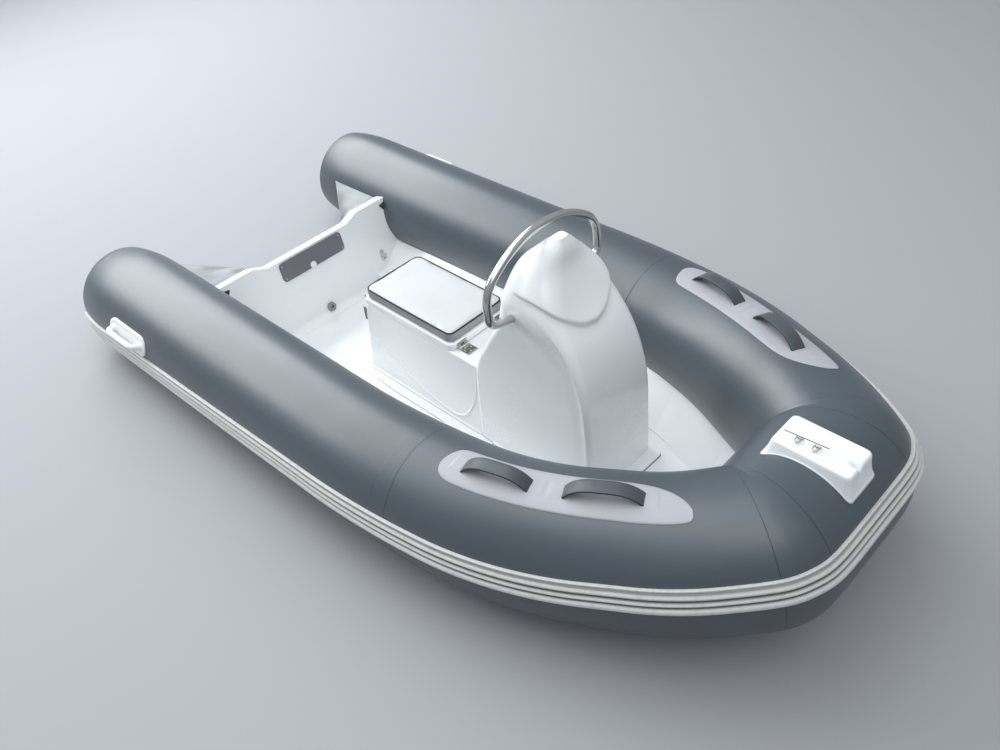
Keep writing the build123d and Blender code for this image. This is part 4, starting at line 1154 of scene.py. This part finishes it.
def console_rings():
    """Rings from foot to crown, out over the helmet, in under its edge and down the side channels."""
    edge_y, edge_z = zip(*HELMET_EDGE)
    rows = smooth_path(CONSOLE, 26)
    rings = [pod_ring(x0, x1, half, corner, z) for z, x0, x1, half, corner in rows]
    for ring, (z, x0, x1, half, corner) in zip(rings, rows):
        centre = np.array([(x0 + x1) / 2, 0.0])
        for point in ring:
            above = z - float(np.interp(abs(point[1]), edge_y, edge_z))
            share = ease(above / 0.020) * (1 - ease((above - 0.015) / 0.17)) * ease((point[0] - 0.285) / 0.07)
            dip = ease((above + 0.05) / 0.05) * (1 - ease(above / 0.012)) * ease((point[0] - 0.32) / 0.06)
            away = (point[:2] - centre) / max(np.linalg.norm(point[:2] - centre), 1e-6)
            behind = x1 - corner * 0.6 - point[0]
            fold = ease(behind / 0.012) * (1 - ease((behind - 0.012) / 0.035)) * (1 - ease((z - 0.56) / 0.08))
            point[:2] += away * (HELMET_RISE * share - HELMET_DIP * dip)
            at_side = ease((abs(point[1]) - half + 0.02) / 0.01)
            point[1] -= math.copysign(FOLD_DEPTH * fold * at_side, point[1])
            point[2] += HELMET_RISE * 0.35 * share
    z, x0, x1, half, corner = rows[-1]
    for inset, rise in ((0.0035, 0.0008), (0.008, 0.0014), (0.012, 0.0015)):
        rings.append(pod_ring(x0 + inset, x1 - inset, half - inset, max(corner - inset, 0.001), z + rise))
    return rings


pod = ring_mesh("console_shell", console_rings(), "hull", gelcoat, "gelcoat_white")
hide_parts("console_pod")

# %% [markdown]
# ### Plinth and deck joints
# The console stands on a thin plinth in a bead of dark sealant. On each side of the seat a fine dark joint
# runs along the sole, where two mouldings of the deck meet.

# %% Plinth
PLINTH_PLAN = (0.175, 0.634, 0.160, 0.014)  # aft edge, front edge, half width, corner radius
plinth = ring_mesh("console_base", slab_rings(*PLINTH_PLAN, 0.0102, 0.024, 0.004, 0.0005), "hull", gelcoat,
                   "gelcoat_white")
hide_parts("console_plinth")
for side, sign in SIDES:
    path = [(x, sign * (0.180 + 0.0072 * ease((x + 0.465) / 0.2)), 0.0103)
            for x in np.linspace(-0.465, -0.022, 12)]
    ring_mesh(f"deck_joint_{side}", tube_rings(path, 0.0009, 8), "hull", black_rubber_and_gap_shade, "gelcoat_white")
seal_rings = tube_rings(rounded_ring(*PLINTH_PLAN, 0.0104, 8), 0.0016, 8, closed=True)
ring_mesh("base_sealant", seal_rings + seal_rings[:1], "hull", black_rubber_and_gap_shade, "gelcoat_white",
          caps=(False, False))
print("plinth", round(PLINTH_PLAN[1] - PLINTH_PLAN[0], 3), "m long")

# %% [markdown]
# ## Bow step
# The step is a white saddle moulding on the bow tube. Its sides are drawn down to the tube's skin in hollow
# skirts that sweep out to points aft, so each column of its mesh starts at the top's edge and is followed
# down until it meets the tube. A notch in the top's front edge would lead an anchor line.

# %% Step
STEP_TOP, STEP_FOOT = 0.543, 0.440
STEP_HIGH = (1.083, 1.300, 0.060, 0.060)  # aft, fore, half width aft, half width fore
STEP_LOW = (1.046, 1.3245, 0.158, 0.071)
STEP_CORNER = 0.016
STEP_EDGE = 0.0085  # how far the top's edge is rounded down
STEP_ROWS = 14      # rings down the skirt


def towards(start, aim, distance):
    """The point at a distance from start on the way to aim."""
    return start + (aim - start) / np.linalg.norm(aim - start) * distance


def step_outline(shape, count=40):
    """Trapezium with rounded corners, as a closed line of points."""
    aft, fore, half_aft, half_fore = shape
    corners = [np.array(corner) for corner in ((fore, half_fore), (aft, half_aft), (aft, -half_aft),
                                               (fore, -half_fore))]
    line = []
    for i, here in enumerate(corners):
        before, after = corners[i - 1], corners[(i + 1) % 4]
        a, b = towards(here, before, STEP_CORNER), towards(here, after, STEP_CORNER)
        c = towards(after, here, STEP_CORNER)
        line += [a * (1 - t) ** 2 + here * 2 * t * (1 - t) + b * t * t for t in (k / 10 for k in range(10))]
        line += [b + (c - b) * k / count for k in range(count)]
    return line


def step_column(high, low, t):
    """Point down one side: hollow between the top's edge and the foot."""
    spread = t ** 1.7
    return np.array([high[0] + (low[0] - high[0]) * spread, high[1] + (low[1] - high[1]) * spread,
                     STEP_TOP - (STEP_TOP - STEP_FOOT) * t])


def above_tube(point):
    """Height of a point over the bow tube's skin."""
    return math.hypot(point[0] - BOW_CORNER.x, point[2] - BOW_CORNER.z) - BOW_R


def step_rings():
    """Rings from the middle of the top out to its edge and down the skirts to the tube."""
    high, low = step_outline(STEP_HIGH), step_outline(STEP_LOW)
    ends = []
    for h, w in zip(high, low):
        a, b = 0.0, 1.0
        for _ in range(30):
            middle = (a + b) / 2
            a, b = (middle, b) if above_tube(step_column(h, w, middle)) > 0 else (a, middle)
        ends.append(b)
    rings = []
    centre = np.array([(STEP_HIGH[0] + STEP_HIGH[1]) / 2, 0.0])
    for share in (0.0, 0.3, 0.5, 0.65, 0.76, 0.84, 0.89, 0.93):
        rings.append([np.array([*(centre + (h - centre) * share), STEP_TOP]) for h in high])
    for turn in (0.35, 0.7, 1.05, 1.4):
        share, drop = 0.93 + 0.07 * math.sin(turn), STEP_EDGE * (1 - math.cos(turn))
        rings.append([np.array([*(centre + (h - centre) * share), STEP_TOP - drop]) for h in high])
    for k in range(1, STEP_ROWS + 1):
        lip = ease((k - 11.5) / 2.5)
        ring = []
        for h, w, end in zip(high, low, ends):
            begin = min(STEP_EDGE / (STEP_TOP - STEP_FOOT), end * 0.6)
            point = step_column(h, w, begin + (end - begin) * k / STEP_ROWS)
            point[:2] += (h - centre) / np.linalg.norm(h - centre) * 0.0025 * lip
            ring.append(point)
        rings.append(ring)
    rings = [np.array(ring) for ring in rings]
    for ring in rings:
        for point in ring:
            notch = max(0.0, 1 - abs(point[1] + 0.006) / 0.013) * ease((point[0] - 1.268) / 0.024)
            point[2] -= 0.015 * notch * ease((point[2] - 0.500) / 0.03)
    return rings


step_gelcoat = plain_finish("step_gelcoat", (0.87, 0.88, 0.88), 0.34, 400.0, 0.00008, 0.03,
                            Coat_Weight=0.3, Coat_Roughness=0.2)
step = ring_mesh("bow_step_moulding", step_rings(), "hull", step_gelcoat, "moulded_white")
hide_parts("bow_step")
print("step", len(step.data.polygons), "faces")

# %% Painted shade of the step's hairline gap, and hooks
# painted shade: a thin dark line along the hairline gap in the step's top
STEP_GAP_SHADE = ((1.095, -0.0095, STEP_TOP), (1.154, -0.004, STEP_TOP), (1.213, 0.001, STEP_TOP))
ring_mesh("step_gap_shade", tube_rings(STEP_GAP_SHADE, 0.0012, 8), "hull", black_rubber_and_gap_shade, "moulded_white")
HOOK_X, HOOK_Y = (1.140, 1.188), -0.016
# route from the hook's own middle, and the wire's radius: the bail, its foot and the tongue
HOOK_WIRES = (
    (((-0.006, 0.008, 0.001), (-0.007, 0.0, 0.005), (-0.006, -0.013, 0.005), (0.0, -0.019, 0.004),
      (0.006, -0.013, 0.005), (0.007, 0.0, 0.005), (0.006, 0.008, 0.001)), 0.0014),
    (((-0.009, 0.004, 0.0018), (0.0, 0.0045, 0.0024), (0.009, 0.004, 0.0018)), 0.0024),
    (((0.0, 0.002, 0.003), (0.001, -0.008, 0.008), (0.0, -0.016, 0.003)), 0.0013),
)
wires = []
for x in HOOK_X:
    for route, size in HOOK_WIRES:
        path = [(x + a, HOOK_Y + b, STEP_TOP + c) for a, b, c in smooth_path(route, 5)]
        wires.append(ring_faces(tube_rings(path, size, 10)))
hooks = add_mesh("step_hooks", *joined(wires), "hull", steel, "stainless")
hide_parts("step_fittings")
print("hooks", len(wires), "wires")

# %% [markdown]
# ## Transom pad
# A grey pad screwed inside the transom spreads the load of the motor's clamps. It is a slab with a raised
# rim, laid out on the leaning board by its height along the board and its distance from the centreline,
# with a half-round cut-out at its foot.

# %% Inner motor pad
RAKE = math.radians(14.0)
BOARD_UP = Vector((-math.sin(RAKE), 0, math.cos(RAKE)))
BOARD_IN = Vector((math.cos(RAKE), 0, math.sin(RAKE)))
BOARD_TOP, BOARD_T = Vector((-0.977, 0, 0.249)), 0.042


def on_board(y, down, lift):
    """Point on the transom's inner face: distance below the top edge, and height off the face."""
    return BOARD_TOP + BOARD_IN * (BOARD_T + lift) - BOARD_UP * down + Vector((0, y, 0))


PAD_HIGH, PAD_LOW, PAD_HALF = 0.008, 0.086, 0.150  # its edges below the board's top, and half its width
# distance in from the pad's edge, height off the board: the raised rim and the field inside it
PAD_PROFILE = ((0.0, 0.0003), (0.0, 0.0045), (0.0008, 0.0056), (0.0022, 0.0060), (0.0040, 0.0060),
               (0.0052, 0.0052), (0.0062, 0.0050), (0.014, 0.0050), (0.024, 0.0050))


def pad_rings():
    """Rings from the pad's foot over its rim to its middle."""
    rings = []
    for inset, lift in PAD_PROFILE:
        ring = rounded_ring(PAD_HIGH + inset, PAD_LOW - inset, PAD_HALF - inset,
                            max(0.016 - inset, 0.001), 0.0, 12)
        rings.append(np.array([tuple(on_board(y, down, lift)) for down, y, _ in ring]))
    return rings


pad = ring_mesh("inner_motor_pad", pad_rings(), "hull", pad_grey, "pad_grey")
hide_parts("motor_pad_inner")
CUT_Y, CUT_R = -0.009, 0.0135  # middle and radius of the cut-out, which a white disc in it shows
cut_rings = []
for scale, lift in ((1.0, 0.0048), (1.0, 0.0062), (0.9, 0.0064), (0.4, 0.0064)):
    arc = [(CUT_Y + CUT_R * scale * math.sin(a), PAD_LOW - 0.010 - CUT_R * scale * math.cos(a))
           for a in (math.pi * (k / 12 - 0.5) for k in range(13))]
    arc += [(CUT_Y + 0.0115 * scale, PAD_LOW - 0.0005), (CUT_Y - 0.0115 * scale, PAD_LOW - 0.0005)]
    cut_rings.append(np.array([tuple(on_board(y, down, lift)) for y, down in arc]))
ring_mesh("pad_cut_out", cut_rings, "hull", gelcoat, "gelcoat_white")
nodes["drain_fitting"].data.materials[0] = plain_finish("drain_grey", (0.25, 0.26, 0.26), 0.4, 500.0)
print("pad", round(PAD_HALF * 2, 3), "by", round(PAD_LOW - PAD_HIGH, 3), "m")

# %% [markdown]
# ## Liner details
# The deck moulding turns up into the transom through a cove, which a short sweep of one section fills.
# Forward, a low bead runs round each side of the sole, and a dark sheet of painted shade fills the gap where
# the transom meets each tube.

# %% Cove, beads and painted gap shade
FLOOR_SLOPE = math.radians(6.6)
COVE = 0.036
COVE_FOOT = Vector((-0.8652, 0, -0.0322))  # where the transom's inner face meets the well's floor


def cove_rings():
    """The cove's section, tangent to the board and to the well's floor, at places across the boat."""
    forward = Vector((math.cos(FLOOR_SLOPE), 0, math.sin(FLOOR_SLOPE)))
    curve = [BOARD_UP * (COVE * (1 - k / 12) ** 2) + forward * (COVE * (k / 12) ** 2) for k in range(13)]
    section = [*curve, (BOARD_UP + forward) * -0.003]
    return [np.array([tuple(COVE_FOOT + point + Vector((0, y, 0))) for point in section])
            for y in np.linspace(-0.2495, 0.2495, 9)]


ring_mesh("well_cove", cove_rings(), "hull", gelcoat, "gelcoat_white")
LINER_BEAD = ((0.420, 0.236), (0.539, 0.224), (0.635, 0.201), (0.725, 0.183), (0.797, 0.165))
# distance from the centreline, distance below the board's top edge
GAP_SHADE_OUTLINE = ((0.366, -0.001), (0.392, -0.006), (0.402, 0.010), (0.404, 0.052), (0.392, 0.040))
for side, sign in SIDES:
    bead = tube_rings([(x, sign * y, 0.0205) for x, y in smooth_path(LINER_BEAD, 6)], 0.0032, 10)
    ring_mesh(f"liner_bead_{side}", bead, "hull", gelcoat, "gelcoat_white")
    # painted shade: a dark sheet on the transom's face where the gap at each end lies in shade
    gap_shade = [np.array([tuple(on_board(sign * y, down, lift)) for y, down in GAP_SHADE_OUTLINE])
              for lift in (0.0004, 0.003)]
    ring_mesh(f"end_gap_shade_{side}", gap_shade, "hull", black_rubber_and_gap_shade, "tube_grey")
print("cove", COVE, "m each way from its corner")

# %% [markdown]
# ## Screws
# The motor pads and the hinges are held by small domed screws. They repeat, so a Geometry Nodes tree puts
# one head on each point of a cloud, turned to the direction that the point carries. The head's size is an
# input of the tree. The cloud is then made a plain mesh, one for the hull and one for the lid, because each
# body needs its own piece.


# %% Screw tree
SCREW_NODES = {
    "start": "NodeGroupInput", "end": "NodeGroupOutput", "head": "GeometryNodeMeshUVSphere",
    "flatten": "GeometryNodeTransform", "scale": "ShaderNodeCombineXYZ",
    "axis": "GeometryNodeInputNamedAttribute", "turn": "FunctionNodeAlignRotationToVector",
    "place": "GeometryNodeInstanceOnPoints", "real": "GeometryNodeRealizeInstances",
    "paint": "GeometryNodeSetMaterial",
}
# node and output, node and input
SCREW_LINKS = (
    ("start", "Head Radius", "head", "Radius"), ("start", "Head Height", "scale", "Z"),
    ("head", "Mesh", "flatten", "Geometry"), ("scale", "Vector", "flatten", "Scale"),
    ("start", "Points", "place", "Points"), ("flatten", "Geometry", "place", "Instance"),
    ("axis", "Attribute", "turn", "Vector"), ("turn", "Rotation", "place", "Rotation"),
    ("place", "Instances", "real", "Geometry"), ("real", "Geometry", "paint", "Geometry"),
    ("paint", "Geometry", "end", "Screws"),
)


def screw_tree():
    """The tree, and the identifier of its Head Radius input."""
    tree = bpy.data.node_groups.new("screw_heads", "GeometryNodeTree")
    tree.interface.new_socket("Points", in_out="INPUT", socket_type="NodeSocketGeometry")
    size = tree.interface.new_socket("Head Radius", in_out="INPUT", socket_type="NodeSocketFloat")
    size.default_value = 0.0032
    flat = tree.interface.new_socket("Head Height", in_out="INPUT", socket_type="NodeSocketFloat")
    flat.default_value = 0.4
    tree.interface.new_socket("Screws", in_out="OUTPUT", socket_type="NodeSocketGeometry")
    made = {name: tree.nodes.new(kind) for name, kind in SCREW_NODES.items()}
    made["axis"].data_type = "FLOAT_VECTOR"
    made["turn"].axis = "Z"
    for name, socket, value in (("head", "Segments", 14), ("head", "Rings", 7), ("axis", "Name", "axis"),
                                ("scale", "X", 1.0), ("scale", "Y", 1.0), ("paint", "Material", steel)):
        made[name].inputs[socket].default_value = value
    for source, output, target, socket in SCREW_LINKS:
        tree.links.new(made[source].outputs[output], made[target].inputs[socket])
    return tree, size.identifier


SCREWS, HEAD_RADIUS = screw_tree()


def screws(name, spots, body, radius):
    """Screw heads at (point, direction) pairs as one plain mesh on a body."""
    cloud = bpy.data.meshes.new(name)
    cloud.from_pydata([tuple(p) for p, _ in spots], [], [])
    axis = cloud.attributes.new("axis", "FLOAT_VECTOR", "POINT")
    axis.data.foreach_set("vector", [float(v) for _, d in spots for v in d])
    piece = in_scene(name, cloud)
    maker = piece.modifiers.new("screws", "NODES")
    maker.node_group = SCREWS
    maker[HEAD_RADIUS] = radius
    apply_modifiers(piece)
    shade_smooth(piece.data)
    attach(piece, body)
    print(name, len(spots), "screws")


# %% Where the screws go
hull_spots = [(on_board(y, down, 0.0052), BOARD_IN) for y in (-0.138, 0.138) for down in (0.021, 0.073)]
hull_spots += [(BOARD_TOP - BOARD_IN * 0.0062 - BOARD_UP * down + Vector((0, y, 0)), -BOARD_IN)
               for y in (-0.135, 0.135) for down in (0.030, 0.188)]
HINGE_Y = 0.088
LEAF_SCREWS = ((0.030, -0.014), (0.030, 0.014), (0.044, 0.0))  # on the fixed leaf: forward, across
lid_spots = []
for y in (-HINGE_Y, HINGE_Y):
    hull_spots += [(Vector((x, y + d, 0.3027)), UP) for x, d in LEAF_SCREWS]
    lid_spots += [(Vector((0.0057, y + d, 0.3155)), Vector((1, 0, 0))) for d in (-0.014, 0.014)]
screws("hull_screws", hull_spots, "hull", 0.0034)
screws("lid_screws", lid_spots, "seat_lid", 0.0026)

# %% [markdown]
# ## Light, floor and camera
# The floor is a plain pale sheet at the waterline, with a hole inside the hull, where the cockpit's well
# lies below it. A soft lamp overhead whitens what faces up, a wide one behind the stern runs a long
# highlight down the tubes, and a weak one ahead lights the console's front. The side nearest the camera
# stays in shade, so the tubes read as round. The view transform is Standard, so that a colour shows at the
# strength that it is given.

# %% Floor
floor_mesh = bpy.data.meshes.new("floor")
rim = [(-14, -14, 0), (14, -14, 0), (14, 14, 0), (-14, 14, 0)]
hole = [(-0.905, -0.275, 0), (-0.54, -0.275, 0), (-0.54, 0.275, 0), (-0.905, 0.275, 0)]
floor_mesh.from_pydata(rim + hole, [], [(i, (i + 1) % 4, (i + 1) % 4 + 4, i + 4) for i in range(4)])
floor = in_scene("floor", floor_mesh)
paper = Finish("floor_paper", Roughness=0.9, Base_Color=(0.38, 0.385, 0.40, 1))
floor_mesh.materials.append(paper.material)
print("floor hole", round(hole[1][0] - hole[0][0], 3), "by", round(hole[2][1] - hole[1][1], 3), "m")


# %% Lamps
def lamp(name, place, aim, size, power):
    """A soft rectangular lamp at a place, turned to what it lights."""
    light = bpy.data.lights.new(name, "AREA")
    light.shape = "RECTANGLE"
    light.size, light.size_y = size
    light.energy = power
    light.color = (0.94, 0.975, 1.0)
    made = in_scene(name, light)
    made.location = place
    made.rotation_euler = (Vector(aim) - Vector(place)).to_track_quat("-Z", "Y").to_euler()
    print(name, power, "W")


lamp("overhead", (-0.7, -0.5, 4.6), (-0.1, 0, 0.2), (4.0, 3.2), 78)
lamp("behind_stern", (-5.0, -0.2, 3.3), (-0.3, 0, 0.3), (7.4, 2.4), 380)
lamp("ahead", (2.4, -1.4, 4.4), (-0.6, 0, 0.3), (2.6, 2.6), 42)

# %% Soft light from all round, stronger overhead
world = bpy.data.worlds.new("studio")
bpy.context.scene.world = world
bpy.context.scene.view_settings.view_transform = "Standard"
world.use_nodes = True
sky, join = world.node_tree.nodes, world.node_tree.links.new
sky["Background"].inputs["Color"].default_value = (0.80, 0.86, 0.92, 1)
facing, height = sky.new("ShaderNodeTexCoord"), sky.new("ShaderNodeSeparateXYZ")
strength = sky.new("ShaderNodeMapRange")
for name, value in (("From Min", 0.05), ("From Max", 0.95), ("To Min", 0.46), ("To Max", 0.72)):
    strength.inputs[name].default_value = value
join(facing.outputs["Generated"], height.inputs[0])
join(height.outputs["Z"], strength.inputs["Value"])
join(strength.outputs["Result"], sky["Background"].inputs["Strength"])
print("sky from", strength.inputs["To Min"].default_value, "to", strength.inputs["To Max"].default_value)

# %% [markdown]
# ### Camera
# The camera stands ahead and to starboard, and looks down on the boat. Its place is given as a point, and
# its aim as an azimuth, an elevation and a small roll, from which its three axes are worked out.

# %% Camera
AZIMUTH, ELEVATION, ROLL = (math.radians(v) for v in (46.374, 41.351, -4.987))
CAMERA_PLACE = Vector((1.7936, -1.6363, 2.2399))
flat = math.cos(ELEVATION)
back = Vector((math.sin(AZIMUTH) * flat, -math.cos(AZIMUTH) * flat, math.sin(ELEVATION)))
level = Vector((math.cos(AZIMUTH), math.sin(AZIMUTH), 0))
upright = back.cross(level)
right = level * math.cos(ROLL) + upright * math.sin(ROLL)
above = upright * math.cos(ROLL) - level * math.sin(ROLL)
lens = bpy.data.cameras.new("camera")
lens.lens, lens.sensor_width = 33.7547, 36.0
camera = in_scene("camera", lens)
matrix = Matrix((right, above, back)).transposed().to_4x4()
matrix.translation = CAMERA_PLACE
camera.matrix_world = matrix
bpy.context.scene.camera = camera
print("camera", round(CAMERA_PLACE.length, 2), "m from amidships")
